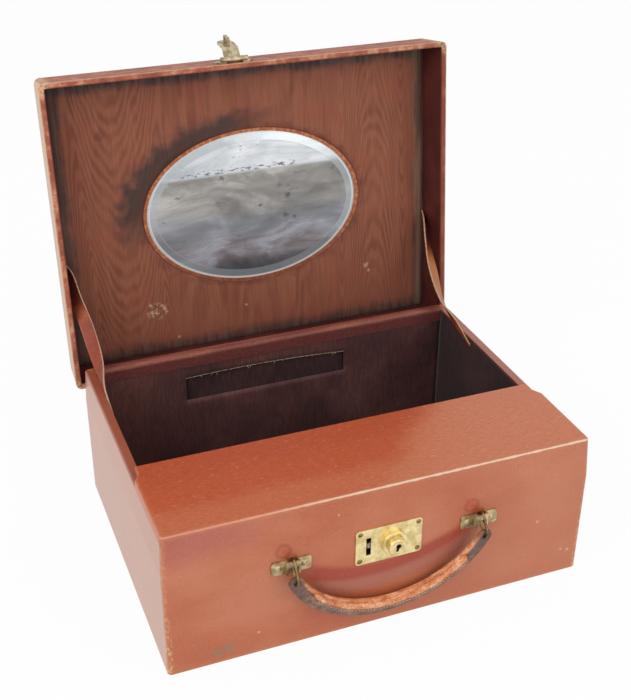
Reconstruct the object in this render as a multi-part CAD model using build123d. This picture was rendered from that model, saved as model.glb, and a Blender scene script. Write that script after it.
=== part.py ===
from build123d import *
from math import atan2, cos, degrees, radians, sin, tan
import os

# An antique fitted dressing box: a leather covered box with a raised front deck, a well behind it,
# a lid with an oval mirror on a long knuckled hinge, a push lock with a hasp, and a drop handle.
#
# Millimetres, +Z up, +Y to the back. The origin is the centre of the underside. Every part is built
# where it lies with the lid closed, and the lid's parts are then turned back to where the stay straps
# hold it. In the names below, a depth is measured back from the upright front face: a negative depth
# stands proud of the front.

# --- Case ------------------------------------------------------------------------------------------
CASE_WIDTH = 300.0
CASE_DEPTH = 221.0
BEND_Z = 80.5  # the walls are upright up to here and lean inward above
DRAFT = 3.2  # the lean of the walls above the bend, and of the lid's walls, in degrees
RIM_Z = 105.0  # top of the side rims
DECK_Z = 109.5  # top of the raised front deck
CORNER_RADIUS = 3.0
EDGE_ROUND = 1.2
FOOT_ROUND = 0.8
LEATHER = 1.0
BOARD = 5.0
SIDE_BOARD = 5.3
LINING = 1.0

DECK_REAR = -30.8
DECK_OVERHANG = 0.8
DECK_SHOULDER = (148.5, -46.5)  # where the deck's end starts to step in from the case's edge
DECK_NECK = (144.6, -39.8)  # where it runs straight back between the side rims
DECK_REACH = 160.0
LIP = 0.5
LIP_BOTTOM = 101.0

POCKET_BACK = 0.6
POCKET_CARD = 1.4
POCKET_HOLLOW = (-80.0, 63.0, 22.0, 92.0)  # low x, high x, low z, high z
POCKET_MOUTH = (-74.0, 57.0, 65.6)  # low x, high x, low z
POCKET_MOUTH_TOP = ((57.0, 82.9), (-23.0, 86.4), (-74.0, 85.3))  # right, middle, left (x, z)
BINDING_TOP = 106.3
BINDING_BOTTOM = 95.0
BINDING_LINING = 0.6
BINDING_ROUND = 2.6

LEAN = tan(radians(DRAFT))
FRONT = -CASE_DEPTH / 2
BACK = CASE_DEPTH / 2
INNER_X = CASE_WIDTH / 2 - LEATHER - SIDE_BOARD
INNER_FRONT = FRONT + LEATHER + BOARD
INNER_BACK = BACK - LEATHER - BOARD
FLOOR_TOP = LEATHER + BOARD
LINING_BOTTOM = FLOOR_TOP + LINING
WALL_TOP = RIM_Z - LEATHER
WELL_X = INNER_X - LINING
WELL_FRONT = DECK_REAR - DECK_OVERHANG
WELL_BACK = INNER_BACK - POCKET_BACK - POCKET_CARD - LINING
PARTITION_REAR = WELL_FRONT - LINING
LIP_X = WELL_X - LIP
FAR = 400.0  # larger than the box, for cutting tools
MITRE_REACH = 30.0
SIDES = ("front", "back", "left", "right")

# --- Lid, as it lies closed ------------------------------------------------------------------------
LID_WIDTH = 309.2
LID_DEPTH = 230.2
LID_RIM_Z = 81.5
LID_TOP_Z = 116.1
LID_CORNER = 4.6
LID_TOP_ROUND = 3.5
LID_LEATHER = 0.8
LID_WALL = 2.4
LID_BAND = 0.8
LID_BOARD = 2.5
LID_PAD = 1.2
LID_OPEN = 96.5  # degrees back from closed

MIRROR_CENTRE = (3.0, 1.0)
MIRROR_WIDTH = 173.0
MIRROR_DEPTH = 119.0
MIRROR_FACE_Z = 111.0
MIRROR_THICKNESS = 2.4
MIRROR_EDGE = 1.2  # the glass's thickness at its bevelled edge
MIRROR_BEVEL = 8.0
MIRROR_CARD = 0.5
BEAD_BOTTOM = 110.4
BEAD_OVERLAP = 1.0  # how far the bead covers the glass
BEAD_WIDTH = 2.5
BEAD_GAP = 0.15

LID_WALL_OUT = LID_LEATHER
LID_WALL_IN = LID_LEATHER + LID_WALL
LID_BAND_IN = LID_WALL_IN + LID_BAND
LID_WALL_BOTTOM = LID_RIM_Z + LID_LEATHER
LID_WALL_TOP = LID_TOP_Z - LID_LEATHER
LID_BOARD_BOTTOM = LID_WALL_TOP - LID_BOARD
LID_PAD_FACE = LID_BOARD_BOTTOM - LID_PAD

# --- Knuckled hinge --------------------------------------------------------------------------------
HINGE_Y = 117.1
HINGE_Z = 81.5
HINGE_LENGTH = 290.4
KNUCKLES = 24
KNUCKLE_GAP = 0.2
KNUCKLE_RADIUS = 1.8
PIN_RADIUS = 0.9
RUNNING = 0.05  # radial clearance of what turns on a pin
LEAF = 1.0
SWING_CLEARANCE = 0.25
CASE_LEAF_BOTTOM = 66.0
LID_LEAF_TOP = 92.0
HINGE_SCREWS_X = (-120.0, -60.0, 0.0, 60.0, 120.0)
CASE_SCREW_Z = 72.0
LID_SCREW_Z = 88.0
SCREW_HEAD_RADIUS = 2.0
SCREW_HEAD = 1.0
SCREW_SHANK_RADIUS = 1.0
SCREW_SLOT = 0.6
CASE_SCREW_LENGTH = 5.5
LID_SCREW_LENGTH = 3.6

# --- Stay straps -----------------------------------------------------------------------------------
STAY_LINE = ((154.0, 146.5), (131.0, 122.0), (106.0, 114.6), (80.0, 102.4), (56.0, 93.0))  # (y, z)
STAY_RADII = (40.0, 60.0, 120.0)
STAY_WIDTH = 12.0
STAY_THICKNESS = 1.5
STAY_PATCH = (54.0, 92.3, 16.0, 14.0)  # middle y, middle z, length, height

# --- Lock ------------------------------------------------------------------------------------------
LOCK_Z = 66.3
PLATE_X = 1.0
PLATE_WIDTH = 47.0
PLATE_HEIGHT = 27.5
PLATE_CORNER = 2.5
PLATE = 1.0
SLOT_X = -13.5
SLOT_WIDTH = 3.4
SLOT_HEIGHT = 13.8
BOSS_X = 4.0
COLLAR_RADIUS = 9.0
COLLAR_HEIGHT = 3.5
COLLAR_ROUND = 0.8
BUTTON_RADIUS = 6.3
BUTTON_FACE = -9.0
BUTTON_ROUND = 1.2
BUTTON_TRAVEL = 3.0
BUTTON_CLEARANCE = 0.1
STEM_WIDTH = 7.0
STEM_HEIGHT = 6.0
STEM_TIP = 3.1
WEDGE_START = -0.5  # depth at which the stem's slanted face starts
WEDGE_GAP = 0.15
PLUG_RADIUS = 4.3
PLUG_FACE = -8.9
PLUG_REAR = -4.65
KEYHOLE_DEPTH = 3.2
KEYHOLE_EYE = (1.2, 1.0)  # radius, height over the plug's middle
KEYHOLE_SLOT = (1.1, 3.6, -0.8)  # width, height, height of its middle over the plug's middle
KEYHOLE_TILT = -16.0
LOCK_CASE_X = (-18.5, 20.5)
LOCK_CASE_HEIGHT = 17.0
LOCK_CASE_DEPTH = 11.0
LOCK_CASE_WALL = 1.0
BOLT_DEPTHS = (0.1, 2.7)
BOLT_NOSE_X = -15.2
BOLT_BODY_X = (-9.5, 12.5)
BOLT_NOSE_HEIGHT = 4.0
BOLT_BEVEL = 1.2
BOLT_WINDOW_X = -2.9
BOLT_WINDOW_HEIGHT = 6.6
BOLT_POST_RADIUS = 1.1
BOLT_POST = 3.0
BOLT_PAD = (10.5, 4.6, 4.8)  # low x, rear depth, height
LEDGE_DEPTHS = (2.8, 4.0)
LEDGE_HEIGHT = 2.0
SPRING_RADIUS = 1.8
SPRING_WIRE = 0.3
SPRING_TURNS = 5
SPRING_DEPTH = 2.5
PLATE_SCREWS = ((-19.5, 55.5), (-19.5, 77.3), (21.7, 55.5), (21.7, 77.3))  # (x, z)
DOME_RADIUS = 1.9
DOME_HEIGHT = 0.7
DOME_SLOT = 0.35
PLATE_SCREW_LENGTH = 5.0

BOLT_HALF = LOCK_CASE_HEIGHT / 2 - LOCK_CASE_WALL - 0.1
WEDGE_SUM = BOSS_X + STEM_WIDTH / 2 + WEDGE_START  # x plus depth all along the slanted face

# --- Handle, its links and brackets ----------------------------------------------------------------
BRACKETS_X = (-66.5, 66.5)
BRACKET_Z = 66.5
BRACKET_SIZE = (27.0, 10.4, 2.0)  # width, height, corner radius
BRACKET_GAP = (6.8, 65.8)  # width and bottom z of the opening between the cheeks
CHEEK = 1.2
CHEEK_Z = (63.0, 73.0)
CHEEK_FACE = -5.4
BAR_DEPTH = -4.8
BAR_Z = 70.8
BAR_SECTION = (1.2, 4.4)
RIVET_SPREAD = 8.8
RIVET_RADIUS = 2.1
RIVET_HEIGHT = 1.0
RIVET_SHANK = 1.1
RIVET_LENGTH = 5.5

LINK_WIRE = 0.9
LINK_RADIUS = 3.5
LINK_CENTRES = 9.5
LINK_TILT = 35.0  # degrees outward

HANDLE_TILT = 8.0  # degrees, its bottom towards the case
HANDLE_HOLE = (66.5, -3.5)
HANDLE_HOLE_RADIUS = 2.1
HANDLE_END = 5.0  # radius of the rounded ends
HANDLE_DROP = 46.0  # from the links to the middle of the strap at its lowest
HANDLE_HALF = 7.0  # half the strap's width at the middle
HANDLE_THICKNESS = 2.8
HANDLE_EDGE = 0.7
RIDGE_RADIUS = 3.6
RIDGE_RAISE = 2.0
RIDGE_PROUD = 1.8
RIDGE_SPAN = 48.0  # degrees each side of the middle
CORE_RADIUS = 2.6

# --- Hasp, as it hangs in front of the lock --------------------------------------------------------
HASP_DEPTH = -7.2
HASP_Z = 84.5
HASP_BACK = 172.0  # degrees folded back
HASP_KNUCKLE = 2.0
HASP_PIN = 0.8
HASP_HALF = 6.0
HASP_GAP = 0.2
HASP_KNUCKLE_END = 10.0
HASP_BASE = 1.2
HASP_BASE_OUTLINE = ((15.0, 87.75), (11.0, 92.5), (11.0, 83.0))  # wing tip, top and bottom corners
HASP_NOTCH_TOP = 86.8
HASP_END_Z = 57.5
HASP_FOOT = -1.2  # depth of the back of the hasp's lower half
HASP_FOOT_FACE = -2.4  # depth of its face
HASP_PROFILE = (
    (-7.8, HASP_Z), (-6.6, HASP_Z), (-6.6, 79.8), (HASP_FOOT, 74.9), (HASP_FOOT, HASP_END_Z),
    (HASP_FOOT_FACE, HASP_END_Z), (HASP_FOOT_FACE, 74.4), (-7.8, 79.3),
)  # (depth, z) round the bent plate
HASP_SCREW_X = 12.2
HASP_SCREW_Z = 87.75
HASP_SCREW_HEAD = 1.4
HASP_SCREW_SHANK = 0.7
HASP_SCREW_LENGTH = 3.6
STAPLE_HALF = 0.9
STAPLE_Z = (61.2, 72.0)
STAPLE_EYE = (64.0, 68.6, 3.0)  # low z, high z, depth
STAPLE_TIP = 4.2
STAPLE_ROUND = 2.0
STAPLE_RIVETS_Z = (62.6, 70.3)
STAPLE_RIVET = (0.7, 1.5, 0.5)  # shank radius, head radius, head height


# --- Shapes shared by many parts -------------------------------------------------------------------
def block(x_low, x_high, y_low, y_high, z_low, z_high):
    """A box between two opposite corners."""
    middle = Pos((x_low + x_high) / 2, (y_low + y_high) / 2, (z_low + z_high) / 2)
    return middle * Box(x_high - x_low, y_high - y_low, z_high - z_low)


def slab(z_low, z_high):
    """Everything between two heights."""
    return block(-FAR, FAR, -FAR, FAR, z_low, z_high)


def bar_along_x(points, x_low, x_high):
    """A straight bar along X whose section is a polygon of (y, z) points."""
    return Pos(x_low, 0, 0) * extrude(Plane.YZ * Polygon(*points, align=None), x_high - x_low, dir=(1, 0, 0))


def rod_along_x(radius, x_low, x_high, y, z):
    """A round rod along X."""
    return Pos((x_low + x_high) / 2, y, z) * Rot(0, 90, 0) * Cylinder(radius, x_high - x_low)


def front_panel(sketch, x, z, depth_low, depth_high):
    """A sketch stood up facing the front at (x, z), as thick as from one depth to the other."""
    stood = Plane((x, FRONT + depth_high, z), x_dir=(1, 0, 0), z_dir=(0, -1, 0)) * sketch
    return extrude(stood, depth_high - depth_low, dir=(0, -1, 0))


def front_block(x_low, x_high, depth_low, depth_high, z_low, z_high):
    """A box whose place from front to back is given as depths."""
    return block(x_low, x_high, FRONT + depth_low, FRONT + depth_high, z_low, z_high)


def tapered_box(width, depth, radius, z_low, z_high):
    """A box with rounded corners whose four walls lean inward."""
    shrink = 2 * LEAN * (z_high - z_low)
    low = Pos(0, 0, z_low) * RectangleRounded(width, depth, radius)
    high = Pos(0, 0, z_high) * RectangleRounded(width - shrink, depth - shrink, radius)
    return loft([low, high], ruled=True)


def mitre_wedge(side, width, depth):
    """The stretch of a box's plan that belongs to one wall, parted at 45 degrees at the corners."""
    x_out, x_in = width / 2 + MITRE_REACH, width / 2 - MITRE_REACH
    y_out, y_in = depth / 2 + MITRE_REACH, depth / 2 - MITRE_REACH
    outlines = {
        "front": ((-x_out, -y_out), (x_out, -y_out), (x_in, -y_in), (-x_in, -y_in)),
        "back": ((-x_out, y_out), (x_out, y_out), (x_in, y_in), (-x_in, y_in)),
        "left": ((-x_out, -y_out), (-x_out, y_out), (-x_in, y_in), (-x_in, -y_in)),
        "right": ((x_out, -y_out), (x_out, y_out), (x_in, y_in), (x_in, -y_in)),
    }
    return extrude(Polygon(*outlines[side], align=None), FAR, dir=(0, 0, 1))


def oval(grow, z_low, z_high):
    """The mirror's oval, grown or shrunk all round, between two heights."""
    outline = Pos(*MIRROR_CENTRE, z_low) * Ellipse(MIRROR_WIDTH / 2 + grow, MIRROR_DEPTH / 2 + grow)
    return extrude(outline, z_high - z_low)


def open_lid(shape):
    """Turns a closed lid's part back to where the stays hold it."""
    return Pos(0, HINGE_Y, HINGE_Z) * Rot(-LID_OPEN, 0, 0) * Pos(0, -HINGE_Y, -HINGE_Z) * shape


# --- Fasteners -------------------------------------------------------------------------------------
def flush_screw(plane, head_radius, shank_radius, length, slotted=True):
    """A countersunk screw whose slotted head ends at the plane, which faces out."""
    head = Pos(0, 0, -SCREW_HEAD / 2) * Cone(shank_radius, head_radius, SCREW_HEAD)
    shank = Pos(0, 0, -(SCREW_HEAD + length) / 2) * Cylinder(shank_radius, length - SCREW_HEAD)
    screw = head + shank
    if slotted:
        screw -= Box(2 * head_radius, head_radius / 4, SCREW_SLOT)
    return plane * screw


def dome(radius, height):
    """A low round head standing on the XY plane."""
    sphere_radius = (radius ** 2 + height ** 2) / (2 * height)
    return Pos(0, 0, height - sphere_radius) * Sphere(sphere_radius) & Pos(0, 0, FAR / 2) * Box(FAR, FAR, FAR)


def dome_stud(plane, head_radius, head_height, shank_radius, length):
    """A domed head standing on the plane, with its shank behind."""
    return plane * (dome(head_radius, head_height) + Pos(0, 0, -length / 2) * Cylinder(shank_radius, length))


def facing_front(x, depth, z, tilt=0.0):
    """A plane that faces out of the front, tilted up by some degrees."""
    outward = (0, -cos(radians(tilt)), sin(radians(tilt)))
    return Plane((x, FRONT + depth, z), x_dir=(1, 0, 0), z_dir=outward)


def facing_back(x, y, z, tilt=0.0):
    """A plane that faces out of the back, tilted up by some degrees."""
    return Plane((x, y, z), x_dir=(1, 0, 0), z_dir=(0, cos(radians(tilt)), sin(radians(tilt))))


def hinge_screws(on_lid, slotted=True):
    """The five screws of one hinge leaf."""
    screws = []
    for x in HINGE_SCREWS_X:
        if on_lid:
            face = LID_DEPTH / 2 + (LEAF / cos(radians(DRAFT))) - LEAN * (LID_SCREW_Z - LID_RIM_Z)
            plane = facing_back(x, face, LID_SCREW_Z, DRAFT)
            length = LID_SCREW_LENGTH
        else:
            plane = facing_back(x, BACK + LEAF, CASE_SCREW_Z)
            length = CASE_SCREW_LENGTH
        screws.append(flush_screw(plane, SCREW_HEAD_RADIUS, SCREW_SHANK_RADIUS, length, slotted))
    return Compound(children=screws)


def lock_plate_screws(slotted=True):
    """Four domed screws at the plate's corners."""
    screws = []
    for x, z in PLATE_SCREWS:
        plane = facing_front(x, -PLATE, z)
        screw = dome_stud(plane, DOME_RADIUS, DOME_HEIGHT, SCREW_SHANK_RADIUS, PLATE_SCREW_LENGTH)
        if slotted:
            screw -= plane * Pos(0, 0, DOME_HEIGHT) * Box(2 * DOME_RADIUS, DOME_SLOT, DOME_HEIGHT)
        screws.append(screw)
    return Compound(children=screws)


def bracket_rivets():
    """Two domed rivets in each handle bracket."""
    rivets = []
    for x in BRACKETS_X:
        for side in (-RIVET_SPREAD, RIVET_SPREAD):
            plane = facing_front(x + side, -PLATE, BRACKET_Z)
            rivets.append(dome_stud(plane, RIVET_RADIUS, RIVET_HEIGHT, RIVET_SHANK, RIVET_LENGTH))
    return Compound(children=rivets)


def hasp_screws(slotted=True):
    """One flush screw in each wing of the hasp's base."""
    screws = []
    face = (CASE_DEPTH - LID_DEPTH) / 2 - HASP_BASE / cos(radians(DRAFT)) + LEAN * (HASP_SCREW_Z - LID_RIM_Z)
    for side in (-HASP_SCREW_X, HASP_SCREW_X):
        plane = facing_front(SLOT_X + side, face, HASP_SCREW_Z, DRAFT)
        screws.append(flush_screw(plane, HASP_SCREW_HEAD, HASP_SCREW_SHANK, HASP_SCREW_LENGTH, slotted))
    return Compound(children=screws)


def take_away(shape, tools):
    """Cuts each solid of a group out of a shape."""
    for tool in tools.solids():
        shape -= tool
    return shape


# --- Case ------------------------------------------------------------------------------------------
def deck_plan(inset):
    """The deck seen from above: full width in front, then stepping in between the side rims."""
    shoulder_x, shoulder_y = DECK_SHOULDER
    neck_x, neck_y = DECK_NECK
    right = (
        (DECK_REACH, FRONT - MITRE_REACH), (DECK_REACH, shoulder_y), DECK_SHOULDER,
        DECK_NECK, (neck_x, DECK_REAR),
    )
    left = [(-x, y) for x, y in reversed(right)]
    plan = Polygon(*right, *left, align=None)
    if inset:
        plan = offset(plan, -inset, kind=Kind.INTERSECTION)
    return plan


def case_tower(inset, top):
    """The case's four walls, upright and then leaning inward, up to a height."""
    width, depth = CASE_WIDTH - 2 * inset, CASE_DEPTH - 2 * inset
    radius = CORNER_RADIUS - inset
    upright = extrude(RectangleRounded(width, depth, radius), BEND_Z)
    return upright + tapered_box(width, depth, radius, BEND_Z, top)


def raised_deck(inset):
    """The front of the case, up to the deck."""
    return case_tower(inset, DECK_Z - inset) & extrude(deck_plan(inset), FAR, dir=(0, 0, 1))


def case_form(inset=0.0):
    """The case's outer form, or the same form inset by a thickness of leather."""
    return case_tower(inset, RIM_Z - inset) + raised_deck(inset)


def rounded_case_form():
    """The case's outer form with the edges that its leather turns over rounded."""
    body = case_tower(0, RIM_Z)
    body = fillet(body.edges().group_by(Axis.Z)[-1], EDGE_ROUND)
    body = fillet(body.edges().group_by(Axis.Z)[0], FOOT_ROUND)
    deck = raised_deck(0) & slab(BEND_Z, FAR)
    return body + fillet(deck.edges().group_by(Axis.Z)[-1], EDGE_ROUND)


def lock_case_room():
    """The space that the lock case fills in the front board and its leather."""
    half = LOCK_CASE_HEIGHT / 2
    return front_block(*LOCK_CASE_X, 0, LOCK_CASE_DEPTH, LOCK_Z - half, LOCK_Z + half)


def case_walls():
    """The four mitred boards of the case."""
    ring = case_form(LEATHER) & slab(FLOOR_TOP, WALL_TOP)
    ring -= block(-INNER_X, INNER_X, INNER_FRONT, INNER_BACK, FLOOR_TOP, WALL_TOP)
    walls = {side: ring & mitre_wedge(side, CASE_WIDTH, CASE_DEPTH) for side in SIDES}
    walls["front"] = take_away(walls["front"] - lock_case_room(), front_fasteners())
    walls["back"] = take_away(walls["back"], hinge_screws(False, slotted=False))
    return walls


def front_fasteners():
    """What is driven into the front board."""
    return Compound(children=[lock_plate_screws(slotted=False), bracket_rivets()])


def case_covers():
    """The leather skin of the case: one piece over the front and the deck, and one on each other wall."""
    skin = rounded_case_form() - case_form(LEATHER)
    skin -= block(-WELL_X, WELL_X, DECK_REAR, WELL_BACK, FLOOR_TOP, FAR)
    deck = Pos(0, 0, WALL_TOP) * extrude(deck_plan(0), FAR, dir=(0, 0, 1))
    wedges = {side: skin & mitre_wedge(side, CASE_WIDTH, CASE_DEPTH) for side in SIDES}
    covers = {side: wedges[side] - deck for side in SIDES[1:]}
    covers["front"] = wedges["front"] + (skin & deck)
    covers["front"] = take_away(covers["front"] - lock_case_room(), front_fasteners())
    covers["left"] += block(-WELL_X, -LIP_X, DECK_REAR, WELL_BACK, LIP_BOTTOM, RIM_Z)
    covers["right"] += block(LIP_X, WELL_X, DECK_REAR, WELL_BACK, LIP_BOTTOM, RIM_Z)
    covers["back"] -= block(-LIP_X, LIP_X, 0, FAR, LIP_BOTTOM, FAR)
    covers["back"] = take_away(covers["back"], hinge_screws(False, slotted=False))
    return covers


def back_face(z):
    """The y of the case's leaning back face at a height."""
    return BACK - LEAN * (z - BEND_Z)


def rear_binding():
    """The padded leather roll over the rear rim, turned down over the lining."""
    inner = WELL_BACK - BINDING_LINING
    profile = Polygon(
        (back_face(LIP_BOTTOM), LIP_BOTTOM), (back_face(BINDING_TOP), BINDING_TOP),
        (inner, BINDING_TOP), (inner, BINDING_BOTTOM), (WELL_BACK, BINDING_BOTTOM), (WELL_BACK, WALL_TOP),
        (back_face(WALL_TOP) - LEATHER, WALL_TOP), (back_face(LIP_BOTTOM) - LEATHER, LIP_BOTTOM),
        align=None,
    )
    profile = fillet(profile.vertices().group_by(Axis.Y)[-1], BINDING_ROUND)
    return Pos(-LIP_X, 0, 0) * extrude(Plane.YZ * profile, 2 * LIP_X, dir=(1, 0, 0))


def back_lining():
    """The lining of the back wall, with the pocket's worn mouth cut through it."""
    right, middle, left = POCKET_MOUTH_TOP
    x_low, x_high, z_low = POCKET_MOUTH
    edge = Polyline(left, (x_low, z_low), (x_high, z_low), right) + ThreePointArc(right, middle, left)
    mouth = Plane.XZ * make_face(edge)
    sheet = block(-WELL_X, WELL_X, WELL_BACK, WELL_BACK + LINING, LINING_BOTTOM, WALL_TOP)
    return sheet - extrude(mouth, FAR, dir=(0, 1, 0))


def well_linings():
    """The sheets that line the well and the pocket behind its back wall."""
    card_face = WELL_BACK + LINING
    x_low, x_high, z_low, z_high = POCKET_HOLLOW
    card = block(-WELL_X, WELL_X, card_face, card_face + POCKET_CARD, LINING_BOTTOM, WALL_TOP)
    card -= block(x_low, x_high, card_face, card_face + POCKET_CARD, z_low, z_high)
    return {
        "floor_lining": block(-INNER_X, INNER_X, PARTITION_REAR, INNER_BACK, FLOOR_TOP, LINING_BOTTOM),
        "left_lining": block(-INNER_X, -WELL_X, PARTITION_REAR, INNER_BACK, LINING_BOTTOM, WALL_TOP),
        "right_lining": block(WELL_X, INNER_X, PARTITION_REAR, INNER_BACK, LINING_BOTTOM, WALL_TOP),
        "partition_lining": block(-WELL_X, WELL_X, PARTITION_REAR, WELL_FRONT, LINING_BOTTOM, WALL_TOP),
        "pocket_back": block(-WELL_X, WELL_X, INNER_BACK - POCKET_BACK, INNER_BACK, LINING_BOTTOM, WALL_TOP),
        "pocket_card": card,
        "back_lining": back_lining(),
    }


def case_boards():
    """Every board of the case, with the cloth under it."""
    inner_form = case_form(LEATHER)
    walls = case_walls()
    partition_front = PARTITION_REAR - BOARD
    return {
        "base_cloth": inner_form & slab(0, LEATHER),
        "floor_board": inner_form & slab(LEATHER, FLOOR_TOP),
        "front_board": walls["front"],
        "back_board": walls["back"],
        "left_board": walls["left"],
        "right_board": walls["right"],
        "partition_board": block(-INNER_X, INNER_X, partition_front, PARTITION_REAR, FLOOR_TOP, WALL_TOP),
        "deck_board": inner_form & slab(WALL_TOP, DECK_Z),
    }


def stay_strap(side):
    """A flat leather stay on edge beside one wall, from its stitched patch up to the lid's lining."""
    ribbon = Plane.YZ * trace(FilletPolyline(*STAY_LINE, radius=list(STAY_RADII)), line_width=STAY_WIDTH)
    strap = Pos(LIP_X - STAY_THICKNESS, 0, 0) * extrude(ribbon, STAY_THICKNESS, dir=(1, 0, 0))
    strap -= open_lid(slab(LID_PAD_FACE, FAR))
    y, z, length, height = STAY_PATCH
    y_low, z_low = y - length / 2, z - height / 2
    strap += block(LIP_X - STAY_THICKNESS, WELL_X, y_low, y_low + length, z_low, z_low + height)
    return strap if side > 0 else mirror(strap, Plane.YZ)


# --- Hinge -----------------------------------------------------------------------------------------
def knuckle_spans(first):
    """The x range of every second knuckle's share of the hinge."""
    pitch = HINGE_LENGTH / KNUCKLES
    starts = [index * pitch - HINGE_LENGTH / 2 for index in range(first, KNUCKLES, 2)]
    return [(start, start + pitch) for start in starts]


def hinge_leaf(leaf, own_first, bore):
    """Adds a leaf's own knuckles and clears room for the other leaf's."""
    for x_low, x_high in knuckle_spans(1 - own_first):
        leaf -= rod_along_x(KNUCKLE_RADIUS + SWING_CLEARANCE, x_low, x_high, HINGE_Y, HINGE_Z)
    for x_low, x_high in knuckle_spans(own_first):
        half_gap = KNUCKLE_GAP / 2
        leaf += rod_along_x(KNUCKLE_RADIUS, x_low + half_gap, x_high - half_gap, HINGE_Y, HINGE_Z)
    return leaf - rod_along_x(bore, -FAR, FAR, HINGE_Y, HINGE_Z)


def case_hinge_leaf():
    """The leaf on the back wall, bent out under the lid's rim to its knuckles."""
    half = HINGE_LENGTH / 2
    web_bottom = HINGE_Z - KNUCKLE_RADIUS
    web_top = web_bottom + LEAF
    leaf = block(-half, half, BACK, BACK + LEAF, CASE_LEAF_BOTTOM, web_top)
    leaf += block(-half, half, BACK, HINGE_Y, web_bottom, web_top)
    leaf = hinge_leaf(leaf, 0, PIN_RADIUS)
    return take_away(leaf, hinge_screws(False, slotted=False))


def lid_hinge_leaf():
    """The leaf that lies on the lid's leaning rear wall."""
    half = HINGE_LENGTH / 2
    leaf = lid_form(-LEAF) - lid_form()
    leaf &= block(-half, half, 0, FAR, LID_RIM_Z, LID_LEAF_TOP)
    leaf = hinge_leaf(leaf, 1, PIN_RADIUS + RUNNING)
    return take_away(leaf, hinge_screws(True, slotted=False))


# --- Lid -------------------------------------------------------------------------------------------
def lid_form(inset=0.0, top=LID_TOP_Z):
    """The lid's outer form, inset or grown by a thickness, up to a height."""
    return tapered_box(LID_WIDTH - 2 * inset, LID_DEPTH - 2 * inset, LID_CORNER - inset, LID_RIM_Z, top)


def rounded_lid_form(inset=0.0):
    """The lid's form with its top edge rounded."""
    form = lid_form(inset, LID_TOP_Z - inset)
    return fillet(form.edges().group_by(Axis.Z)[-1], LID_TOP_ROUND - inset)


def lid_wood():
    """The lid's top board and its four mitred walls."""
    wood = rounded_lid_form(LID_WALL_OUT) & slab(LID_WALL_BOTTOM, FAR)
    inside = lid_form(LID_WALL_IN)
    walls = wood - inside
    recess = oval(0, LID_BOARD_BOTTOM, MIRROR_FACE_Z + MIRROR_THICKNESS + MIRROR_CARD)
    parts = {"lid_board": (wood & inside & slab(LID_BOARD_BOTTOM, FAR)) - recess}
    for side in SIDES:
        parts[f"lid_{side}_wall"] = walls & mitre_wedge(side, LID_WIDTH, LID_DEPTH)
    parts["lid_front_wall"] = take_away(parts["lid_front_wall"], hasp_screws(slotted=False))
    parts["lid_back_wall"] = take_away(parts["lid_back_wall"], hinge_screws(True, slotted=False))
    return parts


def lid_leathers():
    """The lid's leather cover, turned under the rim, and the band inside its walls."""
    cover = rounded_lid_form() - (rounded_lid_form(LID_WALL_OUT) & slab(LID_WALL_BOTTOM, FAR))
    cover -= lid_form(LID_BAND_IN, LID_BOARD_BOTTOM)
    cover = take_away(cover, hasp_screws(slotted=False))
    cover = take_away(cover, hinge_screws(True, slotted=False))
    band = lid_form(LID_WALL_IN, LID_BOARD_BOTTOM) - lid_form(LID_BAND_IN, LID_BOARD_BOTTOM)
    return {"lid_cover": cover, "lid_wall_band": band & slab(LID_WALL_BOTTOM, FAR)}


def lid_lining():
    """The padded lining on the lid's board, cut out round the mirror."""
    return (lid_form(LID_BAND_IN, LID_BOARD_BOTTOM) & slab(LID_PAD_FACE, FAR)) - oval(0, LID_RIM_Z, FAR)


def mirror_glass():
    """The oval glass, bevelled all round its front."""
    edge_z = MIRROR_FACE_Z + MIRROR_THICKNESS - MIRROR_EDGE
    outer = Ellipse(MIRROR_WIDTH / 2, MIRROR_DEPTH / 2)
    flat = Ellipse(MIRROR_WIDTH / 2 - MIRROR_BEVEL, MIRROR_DEPTH / 2 - MIRROR_BEVEL)
    bevel = loft([Pos(*MIRROR_CENTRE, MIRROR_FACE_Z) * flat, Pos(*MIRROR_CENTRE, edge_z) * outer], ruled=True)
    return bevel + oval(0, edge_z, edge_z + MIRROR_EDGE)


def mirror_bead():
    """The leather bead that covers the glass's edge."""
    bead = oval(BEAD_WIDTH - BEAD_OVERLAP, BEAD_BOTTOM, LID_PAD_FACE)
    bead += oval(0, BEAD_BOTTOM, MIRROR_FACE_Z + MIRROR_THICKNESS - MIRROR_EDGE - 2 * BEAD_GAP)
    bead -= oval(-BEAD_OVERLAP, 0, FAR)
    return bead


def mirror_parts():
    """The glass, the card behind it and the bead round it."""
    card_z = MIRROR_FACE_Z + MIRROR_THICKNESS
    return {
        "mirror_glass": mirror_glass(),
        "mirror_card": oval(0, card_z, card_z + MIRROR_CARD),
        "mirror_bead": mirror_bead(),
    }


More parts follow.
